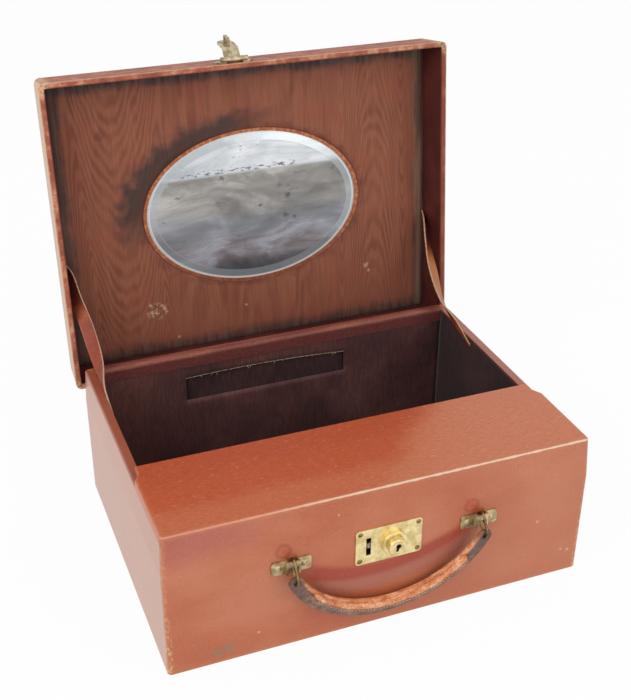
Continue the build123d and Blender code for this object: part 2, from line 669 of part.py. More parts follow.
# --- Lock ------------------------------------------------------------------------------------------
def lock_plate():
    """The face plate with its hasp slot and the collar that guides the button."""
    plate = front_panel(RectangleRounded(PLATE_WIDTH, PLATE_HEIGHT, PLATE_CORNER), PLATE_X, LOCK_Z, -PLATE, 0)
    collar = Pos(0, 0, COLLAR_HEIGHT / 2) * Cylinder(COLLAR_RADIUS, COLLAR_HEIGHT)
    collar = fillet(collar.edges().group_by(Axis.Z)[-1], COLLAR_ROUND)
    collar -= Pos(0, 0, COLLAR_HEIGHT / 2) * Cylinder(BUTTON_RADIUS + BUTTON_CLEARANCE, COLLAR_HEIGHT)
    plate += facing_front(BOSS_X, -PLATE, LOCK_Z) * collar
    plate -= front_panel(Rectangle(SLOT_WIDTH, SLOT_HEIGHT), SLOT_X, LOCK_Z, -PLATE, 0)
    stem = Rectangle(STEM_WIDTH + 2 * BUTTON_CLEARANCE, STEM_HEIGHT + 2 * BUTTON_CLEARANCE)
    plate -= front_panel(stem, BOSS_X, LOCK_Z, -PLATE, 0)
    return take_away(plate, lock_plate_screws(slotted=False))


def lock_case():
    """The open-fronted box behind the plate, with the ledges that the bolt slides on."""
    wall = LOCK_CASE_WALL
    half = LOCK_CASE_HEIGHT / 2 - wall
    x_low, x_high = LOCK_CASE_X
    case = lock_case_room()
    case -= front_block(x_low + wall, x_high - wall, 0, LOCK_CASE_DEPTH - wall, LOCK_Z - half, LOCK_Z + half)
    for ledge_z in (LOCK_Z - half, LOCK_Z + half - LEDGE_HEIGHT):
        case += front_block(BOLT_BODY_X[0], x_high - wall, *LEDGE_DEPTHS, ledge_z, ledge_z + LEDGE_HEIGHT)
    return case


def lock_bolt():
    """The sliding bolt: a nose for the staple's eye, a slanted window for the wedge, a spring post."""
    low, high = BOLT_DEPTHS
    nose = BOLT_NOSE_HEIGHT / 2
    bolt = front_block(*BOLT_BODY_X, low, high, LOCK_Z - BOLT_HALF, LOCK_Z + BOLT_HALF)
    bolt += front_block(BOLT_NOSE_X, BOLT_BODY_X[0], low, high, LOCK_Z - nose, LOCK_Z + nose)
    bevel = ((BOLT_NOSE_X, low), (BOLT_NOSE_X + BOLT_BEVEL, low), (BOLT_NOSE_X, low + BOLT_BEVEL))
    bolt -= Pos(0, FRONT, 0) * extrude(Polygon(*bevel, align=None), FAR, dir=(0, 0, 1))
    slant = WEDGE_SUM + WEDGE_GAP
    window = Polygon(
        (BOLT_WINDOW_X, low), (slant - low, low), (slant - high, high), (BOLT_WINDOW_X, high), align=None
    )
    window_z = LOCK_Z - BOLT_WINDOW_HEIGHT / 2
    bolt -= Pos(0, FRONT, window_z) * extrude(window, BOLT_WINDOW_HEIGHT, dir=(0, 0, 1))
    end = BOLT_BODY_X[1]
    pad_x, pad_rear, pad_height = BOLT_PAD
    pad_z = LOCK_Z - pad_height / 2
    bolt += front_block(pad_x, end, low, pad_rear, pad_z, pad_z + pad_height)
    bolt += rod_along_x(BOLT_POST_RADIUS, end, end + BOLT_POST, FRONT + SPRING_DEPTH, LOCK_Z)
    return bolt


def bolt_spring():
    """The coil that pushes the bolt out."""
    length = LOCK_CASE_X[1] - LOCK_CASE_WALL - BOLT_BODY_X[1]
    rise = length - 2 * SPRING_WIRE
    coil = Helix(pitch=rise / SPRING_TURNS, height=rise, radius=SPRING_RADIUS)
    wire = sweep(Plane(coil @ 0, z_dir=coil % 0) * Circle(SPRING_WIRE), path=coil, is_frenet=True)
    return Pos(BOLT_BODY_X[1] + SPRING_WIRE, FRONT + SPRING_DEPTH, LOCK_Z) * Rot(0, 90, 0) * wire


def lock_button():
    """The push button: a round cap bored for the key plug, with a wedge-ended stem."""
    cap_length = -BUTTON_FACE - PLATE - BUTTON_TRAVEL - RUNNING
    cap = Pos(0, 0, -cap_length / 2) * Cylinder(BUTTON_RADIUS, cap_length)
    cap = fillet(cap.edges().group_by(Axis.Z)[-1], BUTTON_ROUND)
    bore_length = PLUG_REAR + RUNNING - BUTTON_FACE
    cap -= Pos(0, 0, -bore_length / 2) * Cylinder(PLUG_RADIUS + RUNNING, bore_length)
    button = facing_front(BOSS_X, BUTTON_FACE, LOCK_Z) * cap
    x_low, x_high = BOSS_X - STEM_WIDTH / 2, BOSS_X + STEM_WIDTH / 2
    stem_start = BUTTON_FACE + cap_length
    wedge = Polygon(
        (x_low, stem_start), (x_high, stem_start), (x_high, WEDGE_SUM - x_high),
        (WEDGE_SUM - STEM_TIP, STEM_TIP), (x_low, STEM_TIP), align=None,
    )
    return button + Pos(0, FRONT, LOCK_Z - STEM_HEIGHT / 2) * extrude(wedge, STEM_HEIGHT, dir=(0, 0, 1))


def key_plug():
    """The plug in the button's middle, with its tilted keyhole."""
    length = PLUG_REAR - PLUG_FACE
    plug = Pos(0, 0, -length / 2) * Cylinder(PLUG_RADIUS, length)
    eye_radius, eye_y = KEYHOLE_EYE
    slot_width, slot_height, slot_y = KEYHOLE_SLOT
    hole = Pos(0, eye_y) * Circle(eye_radius) + Pos(0, slot_y) * Rectangle(slot_width, slot_height)
    hole = Rot(0, 0, KEYHOLE_TILT) * hole
    plug -= Pos(0, 0, -KEYHOLE_DEPTH) * extrude(hole, KEYHOLE_DEPTH)
    return facing_front(BOSS_X, PLUG_FACE, LOCK_Z) * plug


# --- Handle ----------------------------------------------------------------------------------------
def bracket(x):
    """A riveted plate with two cheeks and the bridge bar that the link hangs on."""
    width, height, corner = BRACKET_SIZE
    gap, gap_bottom = BRACKET_GAP
    plate = front_panel(RectangleRounded(width, height, corner), x, BRACKET_Z, -PLATE, 0)
    plate -= front_block(x - gap / 2, x + gap / 2, -PLATE, 0, gap_bottom, FAR)
    for inner, outer in ((-gap / 2, -gap / 2 - CHEEK), (gap / 2, gap / 2 + CHEEK)):
        plate += front_block(x + min(inner, outer), x + max(inner, outer), CHEEK_FACE, -PLATE, *CHEEK_Z)
    thick, tall = BAR_SECTION
    bar_depth, bar_z = BAR_DEPTH - thick / 2, BAR_Z - tall / 2
    plate += front_block(x - gap / 2, x + gap / 2, bar_depth, bar_depth + thick, bar_z, bar_z + tall)
    return take_away(plate, bracket_rivets())


def link_pivot():
    """The (y, z) of the links' lower centres, which the handle hangs on."""
    tilt = radians(LINK_TILT)
    return FRONT + BAR_DEPTH - LINK_CENTRES * sin(tilt), BAR_Z - LINK_CENTRES * cos(tilt)


def link(x):
    """A long ring of round wire round the bracket's bar."""
    path = SlotCenterToCenter(LINK_CENTRES, 2 * LINK_RADIUS).wire()
    ring = sweep(Plane(path @ 0, z_dir=path % 0) * Circle(LINK_WIRE), path=path)
    hanging = Rot(0, 90, 0) * Pos(LINK_CENTRES / 2, 0, 0) * ring
    return Pos(x, FRONT + BAR_DEPTH, BAR_Z) * Rot(-LINK_TILT, 0, 0) * hanging


def handle_place(shape):
    """Puts a shape of the handle's own plane, x across and y up, between the links."""
    y, z = link_pivot()
    return Pos(0, y, z) * Rot(HANDLE_TILT, 0, 0) * Rot(90, 0, 0) * shape


def handle_arc():
    """Centre height, radius and half angle of the arc along the strap's middle."""
    x, y = HANDLE_HOLE
    fall = y + HANDLE_DROP
    radius = (x ** 2 + fall ** 2) / (2 * fall)
    centre = radius - HANDLE_DROP
    return centre, radius, degrees(atan2(x, centre - y))


def handle_rod(tube_radius, rounded):
    """A round rod along the middle of the grip, a little above the strap's own middle and proud of it."""
    centre, radius, _ = handle_arc()
    line = CenterArc((0, centre), radius - RIDGE_RAISE, 270 - RIDGE_SPAN, 2 * RIDGE_SPAN)
    rod = sweep(Plane(line @ 0, z_dir=line % 0) * Circle(tube_radius), path=line)
    if rounded:
        rod += Pos(*(line @ 0)) * Sphere(tube_radius) + Pos(*(line @ 1)) * Sphere(tube_radius)
    return Pos(0, 0, RIDGE_PROUD) * rod


def handle_strap():
    """The flat crescent of the handle, wider in the middle, with a hole in each rounded end."""
    x, y = HANDLE_HOLE
    centre, radius, _ = handle_arc()
    out_x, out_y = HANDLE_END * x / radius, HANDLE_END * (y - centre) / radius
    left_out, right_out = (-x - out_x, y + out_y), (x + out_x, y + out_y)
    left_in, right_in = (-x + out_x, y - out_y), (x - out_x, y - out_y)
    lower = ThreePointArc(left_out, (0, -HANDLE_DROP - HANDLE_HALF), right_out)
    upper = ThreePointArc(right_in, (0, -HANDLE_DROP + HANDLE_HALF), left_in)
    outline = make_face(lower + Line(right_out, right_in) + upper + Line(left_in, left_out))
    outline += Pos(-x, y) * Circle(HANDLE_END) + Pos(x, y) * Circle(HANDLE_END)
    strap = Pos(0, 0, -HANDLE_THICKNESS / 2) * extrude(outline, HANDLE_THICKNESS)
    strap = fillet(strap.faces().filter_by(Axis.Z).edges(), HANDLE_EDGE)
    for side in (-x, x):
        strap -= Pos(side, y) * Cylinder(HANDLE_HOLE_RADIUS, FAR)
    return strap


def handle_parts():
    """The stitched leather of the handle and the round core inside its grip."""
    core = handle_rod(CORE_RADIUS, rounded=False)
    leather = handle_strap() + handle_rod(RIDGE_RADIUS, rounded=True) - core
    return {"handle_leather": handle_place(leather), "handle_core": handle_place(core)}


# --- Hasp ------------------------------------------------------------------------------------------
def hasp_base():
    """The hinge plate on the lid's front, with a knuckle at each side of the hasp's."""
    tip, top, bottom = HASP_BASE_OUTLINE
    right = (bottom, tip, top)
    outline = Polygon(*right, *[(-x, z) for x, z in reversed(right)], align=None)
    plate = lid_form(-HASP_BASE) - lid_form()
    plate &= Pos(SLOT_X, 0, 0) * extrude(Plane.XZ * outline, FAR, dir=(0, -1, 0))
    notch = HASP_HALF + HASP_GAP
    plate -= block(SLOT_X - notch, SLOT_X + notch, -FAR, 0, 0, HASP_NOTCH_TOP)
    for x_low, x_high in ((-HASP_KNUCKLE_END, -notch), (notch, HASP_KNUCKLE_END)):
        plate += rod_along_x(HASP_KNUCKLE, SLOT_X + x_low, SLOT_X + x_high, FRONT + HASP_DEPTH, HASP_Z)
    plate -= rod_along_x(HASP_PIN, -FAR, FAR, FRONT + HASP_DEPTH, HASP_Z)
    return take_away(plate, hasp_screws(slotted=False))


def staple_rivets():
    """The staple's two tails, riveted over on the hasp's face."""
    radius, head_radius, head_height = STAPLE_RIVET
    studs = []
    for z in STAPLE_RIVETS_Z:
        plane = facing_front(SLOT_X, HASP_FOOT_FACE, z)
        studs.append(dome_stud(plane, head_radius, head_height, radius, HASP_FOOT - HASP_FOOT_FACE))
    return Compound(children=studs)


def hasp_plate():
    """The bent plate of the hasp, round at its end, with its middle knuckle."""
    profile = [(FRONT + depth, z) for depth, z in HASP_PROFILE]
    plate = bar_along_x(profile, SLOT_X - HASP_HALF, SLOT_X + HASP_HALF)
    end = HASP_END_Z + HASP_HALF
    outline = front_panel(Circle(HASP_HALF), SLOT_X, end, -FAR, 0)
    outline += front_block(SLOT_X - HASP_HALF, SLOT_X + HASP_HALF, -FAR, 0, end, FAR)
    plate &= outline
    plate += rod_along_x(HASP_KNUCKLE, SLOT_X - HASP_HALF, SLOT_X + HASP_HALF, FRONT + HASP_DEPTH, HASP_Z)
    plate -= rod_along_x(HASP_PIN + RUNNING, -FAR, FAR, FRONT + HASP_DEPTH, HASP_Z)
    return take_away(plate, staple_rivets())


def hasp_staple():
    """The eye that enters the lock, for the bolt's nose."""
    eye_low, eye_high, eye_depth = STAPLE_EYE
    staple = front_block(SLOT_X - STAPLE_HALF, SLOT_X + STAPLE_HALF, HASP_FOOT, STAPLE_TIP, *STAPLE_Z)
    tip_edges = staple.edges().filter_by(Axis.X).group_by(Axis.Y)[-1]
    staple = fillet(tip_edges, STAPLE_ROUND)
    staple -= front_block(-FAR, FAR, HASP_FOOT, eye_depth, eye_low, eye_high)
    for stud in staple_rivets().solids():
        staple += stud
    return staple


def fold_back(shape):
    """Turns the hanging hasp back over the lid's front."""
    pivot_y = FRONT + HASP_DEPTH
    return Pos(0, pivot_y, HASP_Z) * Rot(-HASP_BACK, 0, 0) * Pos(0, -pivot_y, -HASP_Z) * shape


# --- The whole box ---------------------------------------------------------------------------------
def case_parts():
    """What stands still: boards, leathers, linings, stays, hinge leaf, lock and brackets."""
    parts = case_boards()
    for side, cover in case_covers().items():
        parts[f"{side}_cover"] = cover
    parts.update(well_linings())
    parts["rear_binding"] = rear_binding()
    parts["left_stay"] = stay_strap(-1)
    parts["right_stay"] = stay_strap(1)
    parts["hinge_case_leaf"] = case_hinge_leaf()
    parts["hinge_pin"] = rod_along_x(PIN_RADIUS, -HINGE_LENGTH / 2, HINGE_LENGTH / 2, HINGE_Y, HINGE_Z)
    parts["hinge_case_screws"] = hinge_screws(False)
    parts["lock_plate"] = lock_plate()
    parts["lock_plate_screws"] = lock_plate_screws()
    parts["lock_case"] = lock_case()
    parts["bolt_spring"] = bolt_spring()
    parts["left_bracket"] = bracket(BRACKETS_X[0])
    parts["right_bracket"] = bracket(BRACKETS_X[1])
    parts["bracket_rivets"] = bracket_rivets()
    return parts


def lid_parts():
    """What turns with the lid, as it lies closed."""
    parts = lid_wood()
    parts.update(lid_leathers())
    parts["lid_lining"] = lid_lining()
    parts.update(mirror_parts())
    parts["hinge_lid_leaf"] = lid_hinge_leaf()
    parts["hinge_lid_screws"] = hinge_screws(True)
    parts["hasp_base"] = hasp_base()
    parts["hasp_screws"] = hasp_screws()
    parts["hasp_pin"] = rod_along_x(
        HASP_PIN, SLOT_X - HASP_KNUCKLE_END, SLOT_X + HASP_KNUCKLE_END, FRONT + HASP_DEPTH, HASP_Z
    )
    parts["hasp_plate"] = fold_back(hasp_plate())
    parts["hasp_staple"] = fold_back(hasp_staple())
    return parts


def loose_parts():
    """The lock's moving parts, the handle and its links."""
    parts = {
        "lock_button": lock_button(),
        "lock_bolt": lock_bolt(),
        "key_plug": key_plug(),
        "left_link": link(BRACKETS_X[0]),
        "right_link": link(BRACKETS_X[1]),
    }
    parts.update(handle_parts())
    return parts


def main():
    """Writes one STEP file for each part."""
    os.makedirs("parts", exist_ok=True)
    opened = {name: open_lid(shape) for name, shape in lid_parts().items()}
    for name, shape in {**case_parts(), **opened, **loose_parts()}.items():
        export_step(shape, f"parts/{name}.step")


main()
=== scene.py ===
import math
import random

import bmesh
import bpy
from mathutils import Matrix, Vector


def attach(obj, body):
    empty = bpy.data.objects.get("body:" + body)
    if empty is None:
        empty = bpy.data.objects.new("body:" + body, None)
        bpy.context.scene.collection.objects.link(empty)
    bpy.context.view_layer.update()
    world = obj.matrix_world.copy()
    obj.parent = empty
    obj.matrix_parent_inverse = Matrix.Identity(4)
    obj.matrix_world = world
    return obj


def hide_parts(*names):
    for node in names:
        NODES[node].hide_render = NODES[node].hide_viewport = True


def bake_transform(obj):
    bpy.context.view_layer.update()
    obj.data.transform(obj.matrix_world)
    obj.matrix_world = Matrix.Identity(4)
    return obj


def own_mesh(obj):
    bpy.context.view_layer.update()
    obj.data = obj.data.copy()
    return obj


bl_info = {
    "name": "Fitted dressing box",
    "version": (1, 0, 0),
    "blender": (4, 5, 0),
    "location": "3D View > Sidebar > Dressing box",
    "description": "Leather, silk, mirror and brass finishes for a fitted dressing box",
    "category": "Object",
}

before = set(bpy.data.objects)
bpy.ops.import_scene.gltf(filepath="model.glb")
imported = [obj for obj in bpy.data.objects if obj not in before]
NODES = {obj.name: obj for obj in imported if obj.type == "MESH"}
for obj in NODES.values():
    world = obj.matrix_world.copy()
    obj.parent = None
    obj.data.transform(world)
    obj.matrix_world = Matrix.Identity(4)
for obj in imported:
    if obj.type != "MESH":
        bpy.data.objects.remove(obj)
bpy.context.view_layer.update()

MM = 0.001

# The case: half its size at the foot, and heights above the floor, all in millimetres.
LEAN = math.tan(math.radians(3.2))  # how far a wall leans in for each millimetre above the bend
HALF_WIDTH = 150.0
HALF_DEPTH = 110.5
BEND_Z = 80.5
DECK_Z = 109.5
DECK_REAR = -30.8
RIM_Z = 105.0
WELL_X = 142.7
WELL_FRONT = -31.6
WELL_BACK = 101.5
WELL_FLOOR = 7.0
LINING_TOP = 103.8
SILK_THICK = 0.7
BACK_RIPPLE = 0.35
POCKET_LEFT = -74.0
POCKET_RIGHT = 57.0
POCKET_LOW = 65.6
POCKET_TOP = ((-74.0, 85.3), (-23.0, 86.4), (57.0, 82.9))  # its upper edge's ends and middle
POCKET_THREADS = 14
POCKET_THREAD = 0.13  # radius

# The lid: half its size at the rim, heights as it lies shut, and how it turns open.
LID_OPEN = math.radians(96.5)
LID_HALF_WIDTH = 154.6
LID_HALF_DEPTH = 115.1
LID_RIM_Z = 81.5
LID_TOP_Z = 116.1
LID_FACE_Z = 111.6
LID_FACE_HALF = (148.8, 109.3)
LID_SILK_THICK = 0.8
HINGE = Vector((0.0, 117.1, 81.5)) * MM
LID_TURN = (
    Matrix.Translation(HINGE) @ Matrix.Rotation(-LID_OPEN, 4, "X") @ Matrix.Translation(-HINGE)
)
LID_CLOSE = LID_TURN.inverted()
MIRROR_X, MIRROR_Y = 3.0, 1.0
MIRROR_HALF = (86.5, 59.5)
MIRROR_BEVEL = 8.0
MIRROR_GAP = 0.3  # between the glass and the silk

# The handle: an arc round a centre above its links' line, leaning with its tilt.
HANDLE_ORIGIN = (0.0, -120.749, 63.018)
HANDLE_TILT = math.radians(8.0)
HANDLE_CENTRE = 27.28
HANDLE_RADIUS = 73.28
HANDLE_SEAM = 70.6
STITCH_ROWS = ((HANDLE_SEAM + 0.5, 5.3), (HANDLE_RADIUS + 2.6, -1.45))  # radius, distance in front
STITCH_REACH = math.radians(48)  # from straight down to each end of a row
STITCH_SLANT = 0.22

# The lock.
KEYHOLE_AT = (4.0, 66.3)
KEYHOLE_TILT = math.radians(-16.0)

# The right stay's two edges, from the lid's wall down to the slit in the side lining.
STAY_UPPER = (
    (147.2, 154.7, 170.1), (144.1, 144.5, 166.4), (141.2, 133.9, 151.7), (137.3, 116.9, 135.0),
    (136.8, 94.6, 118.9), (141.2, 73.0, 109.2), (141.3, 48.7, 100.3),
)
STAY_LOWER = (
    (148.6, 156.6, 160.4), (147.9, 150.0, 158.3), (147.9, 138.8, 145.9), (146.0, 119.5, 130.7),
    (143.2, 99.4, 112.1), (141.6, 74.6, 103.6), (141.5, 49.4, 97.9),
)
STAY_THICK = 1.2
STAY_ROUNDING = 0.35

# Marks of wear: arcs as (x, z, radius), rings as (x, z), and spots as (along, up, size).
RUBBED_ARC = (-3.5, 170.0, 125.2)
DULL_ARC = (-10.0, 185.4, 150.0)
BRACKET_RINGS = ((-71.3, 78.6), (60.8, 78.6))
GREEN_STAIN = ((-116.5, 9.0, 7.0), (-108.8, 11.5, 8.0))
FRONT_CHIPS = (
    (141.2, 18.3, 2.2), (135.6, 20.0, 1.8), (-88.7, 17.3, 2.0), (113.7, 50.4, 2.4),
    (-33.9, 96.2, 1.6),
)
SILK_PULLS = (
    (-86.3, 68.8, 2.6), (-65.5, 99.0, 2.4), (-8.3, 81.7, 2.0), (97.0, 65.0, 4.2), (99.0, 70.0, 2.8),
)
SILK_TEAR = (-80.0, 74.5)
SILK_BRUISE = (-112.0, -67.0, 6.0)
LOOPS_X = (-100.0, 104.0)  # middles of the loops in the lid silk's watering
RIB_PITCH = 0.9
GLASS_SMUDGES = (
    (31.0, -3.5, 5.0), (-21.5, -24.0, 4.0), (8.5, 1.5, 3.2), (28.5, 12.0, 4.5), (36.0, 14.0, 3.5),
)

# The stage, in metres.
FLOOR_REACH = 4.0
FLOOR_GLOW = 0.95  # how white the floor is to the camera and in reflections
CAMERA_LENS = 61.03
CAMERA_PLACE = (-0.26556, -0.65749, 0.55744)
CAMERA_ACROSS = Vector((0.93180475, -0.36292508, 0.00502871))
CAMERA_UP = Vector((0.17677583, 0.46588261, 0.86700848))


def paint(red, green, blue):
    """A colour given by its screen values, 0 to 255, as the linear one that shaders take."""
    linear = []
    for value in (red, green, blue):
        value /= 255
        linear.append(value / 12.92 if value <= 0.04045 else ((value + 0.055) / 1.055) ** 2.4)
    return (*linear, 1.0)


# --- Material graphs ------------------------------------------------------------------------------
class Graph:
    """The nodes of one material, with its places measured in millimetres."""

    def __init__(self, name, on_lid=False):
        """With on_lid, places are taken back to the shut lid, whose faces lie level."""
        self.material = bpy.data.materials.new(name)
        self.material.use_nodes = True
        self.tree = self.material.node_tree
        self.tree.nodes.clear()
        place = self.new("TexCoord").outputs["Object"]
        if on_lid:
            turn = LID_CLOSE.to_euler()
            place = self.mapped(place, location=LID_CLOSE.translation, rotation=turn)
        self.at = self.mapped(place, scale=(1 / MM,) * 3)
        self.x, self.y, self.z = self.split(self.at)
        self.face = (self.x, self.y) if on_lid else (self.x, self.z)

    def new(self, kind):
        return self.tree.nodes.new(f"ShaderNode{kind}")

    def put(self, socket, value):
        """Links a socket, or sets its own value."""
        if isinstance(value, bpy.types.NodeSocket):
            self.tree.links.new(value, socket)
        else:
            socket.default_value = value

    def mapped(self, vector, location=(0, 0, 0), rotation=(0, 0, 0), scale=(1, 1, 1)):
        node = self.new("Mapping")
        given = {"Vector": vector, "Location": location, "Rotation": rotation, "Scale": scale}
        for name, value in given.items():
            self.put(node.inputs[name], value)
        return node.outputs[0]

    def split(self, vector):
        node = self.new("SeparateXYZ")
        self.put(node.inputs[0], vector)
        return tuple(node.outputs)

    def join(self, x, y, z):
        node = self.new("CombineXYZ")
        for socket, value in zip(node.inputs, (x, y, z)):
            self.put(socket, value)
        return node.outputs[0]

    def math(self, operation, *values):
        node = self.new("Math")
        node.operation = operation
        for socket, value in zip(node.inputs, values):
            self.put(socket, value)
        return node.outputs[0]

    def add(self, *values):
        total = values[0]
        for value in values[1:]:
            total = self.math("ADD", total, value)
        return total

    def times(self, *values):
        total = values[0]
        for value in values[1:]:
            total = self.math("MULTIPLY", total, value)
        return total

    def less(self, first, second):
        """The first value less the second."""
        return self.math("SUBTRACT", first, second)

    def larger(self, first, second):
        return self.math("MAXIMUM", first, second)

    def smaller(self, first, second):
        return self.math("MINIMUM", first, second)

    def size(self, value):
        """The value without its sign."""
        return self.math("ABSOLUTE", value)

    def length(self, *values):
        total = self.add(*[self.times(value, value) for value in values])
        return self.math("SQRT", total)

    def wave(self, value, pitch):
        """A sine between -1 and 1 that repeats each time value grows by pitch."""
        return self.math("SINE", self.times(value, 2 * math.pi / pitch))

    def step(self, value, low, high):
        """0 below low, 1 above high, smooth between; falls instead if high is below low."""
        node = self.new("MapRange")
        node.interpolation_type = "SMOOTHSTEP"
        ends = (low, high, 0.0, 1.0) if high > low else (high, low, 1.0, 0.0)
        self.put(node.inputs[0], value)
        for index, end in enumerate(ends, start=1):
            node.inputs[index].default_value = end
        return node.outputs[0]

    def near(self, value, middle, outside, inside):
        """1 where value is within inside of middle, falling to 0 at outside from it."""
        return self.step(self.size(self.less(value, middle)), outside, inside)

    def noise(self, size, stretch=(1, 1, 1), detail=3.0, rough=0.5, bend=0.0, shift=0.0, at=None):
        """Noise from about 0.3 to 0.7 whose blobs are size millimetres wide times stretch."""
        scale = tuple(1 / (size * part) for part in stretch)
        vector = self.at if at is None else at
        node = self.new("TexNoise")
        self.put(node.inputs["Vector"], self.mapped(vector, location=(shift,) * 3, scale=scale))
        node.inputs["Scale"].default_value = 1.0
        node.inputs["Detail"].default_value = detail
        node.inputs["Roughness"].default_value = rough
        node.inputs["Distortion"].default_value = bend
        return node.outputs["Fac"]

    def cells(self, size, stretch=(1, 1, 1), feature="F1"):
        """Distances in a pattern of cells that are size millimetres wide times stretch."""
        node = self.new("TexVoronoi")
        node.feature = feature
        scale = tuple(1 / (size * part) for part in stretch)
        self.put(node.inputs["Vector"], self.mapped(self.at, scale=scale))
        node.inputs["Scale"].default_value = 1.0
        return node.outputs["Distance"]

    def mix(self, factor, first, second):
        """A colour between two; a colour mix has its colours on sockets 6 and 7."""
        node = self.new("Mix")
        node.data_type = "RGBA"
        for index, value in ((0, factor), (6, first), (7, second)):
            self.put(node.inputs[index], value)
        return node.outputs[2]

    def over(self, colour, layer, *amounts):
        """Lays a colour over another, as strongly as its amounts multiplied."""
        return self.mix(self.times(*amounts), colour, layer)

    def ramp(self, factor, *stops):
        node = self.new("ValToRGB")
        self.put(node.inputs[0], factor)
        while len(node.color_ramp.elements) < len(stops):
            node.color_ramp.elements.new(0.5)
        for element, (position, colour) in zip(node.color_ramp.elements, stops):
            element.position = position
            element.color = colour
        return node.outputs[0]

    def bump(self, height, depth, under=None):
        """A bump whose height of 1 stands depth millimetres high."""
        node = self.new("Bump")
        node.inputs["Distance"].default_value = depth * MM
        self.put(node.inputs["Height"], height)
        if under is not None:
            self.put(node.inputs["Normal"], under)
        return node.outputs[0]

    def finish(self, colour, roughness, normal=None, **constants):
        """Ends the graph in one principled shader and returns the material."""
        shader = self.new("BsdfPrincipled")
        self.put(shader.inputs["Base Color"], colour)
        self.put(shader.inputs["Roughness"], roughness)
        if normal is not None:
            self.put(shader.inputs["Normal"], normal)
        for name, value in constants.items():
            self.put(shader.inputs[name.replace("_", " ")], value)
        output = self.new("OutputMaterial")
        self.tree.links.new(shader.outputs[0], output.inputs["Surface"])
        return self.material


def once(make):
    """Keeps the material that a function makes, so that it is made only once."""
    kept = {}

    def kept_or_made(*values):
        if values not in kept:
            kept[values] = make(*values)
        return kept[values]

    return kept_or_made


# --- Marks shared by the materials ----------------------------------------------------------------
def edge_distance(g, half_x, half_y, low, high, bend):
    """How far a place on a leaning box is from the box's nearest edge, in millimetres."""
    lean = g.times(g.larger(g.less(g.z, bend), 0.0), LEAN)
    side = g.less(g.less(half_x, lean), g.size(g.x))
    end = g.less(g.less(half_y, lean), g.size(g.y))
    level = g.smaller(g.less(g.z, low), g.less(high, g.z))
    return g.larger(g.smaller(side, end), g.smaller(g.larger(side, end), level))


def worn_edge(g, distance, width, size):
    """Where the colour is rubbed off along an edge, in uneven lengths."""
    reach = g.times(g.noise(size, detail=4, rough=0.6), width * 2.2)
    return g.step(g.less(distance, reach), 0.2, -0.5)


def from_arc(g, x, z, radius):
    """How far a place on the front lies outside a circle, in millimetres."""
    return g.less(g.length(g.less(g.x, x), g.less(g.z, z)), radius)


def spot(g, along, up, size):
    """A soft ragged spot on the face that the graph's marks lie on."""
    away = g.length(g.less(g.face[0], along), g.less(g.face[1], up))
    ragged = g.add(away, g.times(g.noise(size * 0.5, detail=4), size * 1.2))
    return g.step(ragged, size * 1.3, size * 0.8)


def spotted(g, colour, layer, spots, *amounts):
    """Lays a spot of one colour at each place of a list."""
    for along, up, size in spots:
        colour = g.over(colour, layer, spot(g, along, up, size), *amounts)
    return colour


def across_glass(g, inset=0.0):
    """Places over the mirror, as shares of the way from its middle to an oval inside its edge."""
    offsets = g.less(g.x, MIRROR_X), g.less(g.y, MIRROR_Y)
    return [g.times(offset, 1 / (half - inset)) for offset, half in zip(offsets, MIRROR_HALF)]


def leather_bump(g, long_axis, coarse=1.0):
    """Fine long grain, its pits and the slow waves of the board beneath."""
    stretch = [1.0, 1.0, 1.0]
    stretch[long_axis] = 3.2
    grain = g.noise(0.55 * coarse, stretch, detail=3, rough=0.6, bend=0.4)
    pits = g.step(g.cells(1.3 * coarse, stretch), 0.0, 0.35)
    board = g.bump(g.noise(38, detail=2), 0.5)
    fine = g.bump(grain, 0.10 * coarse, board)
    return g.bump(pits, 0.03 * coarse, fine), grain


def grained(g, colour, grain, amount, dark, light):
    """Shades a colour a little by its grain."""
    return g.mix(amount, colour, g.ramp(grain, (0.35, dark), (0.65, light)))


# --- The case's leather ---------------------------------------------------------------------------
def deck_colour(g, broad):
    """The deck's orange glaze, paler at its front and under a painted reflection at its right, with
    fine streaks and pale flecks.
    """
    patches = g.times(g.less(g.noise(9, detail=5, rough=0.7), 0.5), 46.0)
    patchy = g.add(g.times(g.less(broad, 0.5), 50.0), patches)
    # The paler right of the deck is a painted reflection of the light; dull joins it with the paler
    # front.
    right = g.step(g.add(g.x, g.times(g.y, -1.06), patchy), 84.0, 122.0)
    front = g.step(g.add(g.y, g.times(patchy, 0.3)), -76.0, -92.0)
    dull = g.larger(right, g.times(front, 0.55))
    rear = g.times(g.step(g.add(g.y, g.times(patchy, 0.5)), -66.0, -44.0), g.less(1.0, dull))
    colour = g.mix(dull, paint(190, 72, 16), paint(205, 114, 73))
    colour = g.over(colour, paint(176, 60, 8), rear, 0.55)
    streak = g.noise(0.8, (7.0, 1.0, 1.0), detail=4, rough=0.6)
    colour = g.over(colour, paint(160, 56, 18), g.step(streak, 0.44, 0.60), 0.22)
    colour = g.over(colour, paint(222, 130, 86), g.step(streak, 0.56, 0.40), 0.16)
    flecks = g.noise(2.2, (1.6, 1.0, 1.0), detail=5, rough=0.7, shift=23.0)
    return g.over(colour, paint(228, 158, 116), g.step(flecks, 0.60, 0.67), 0.5)


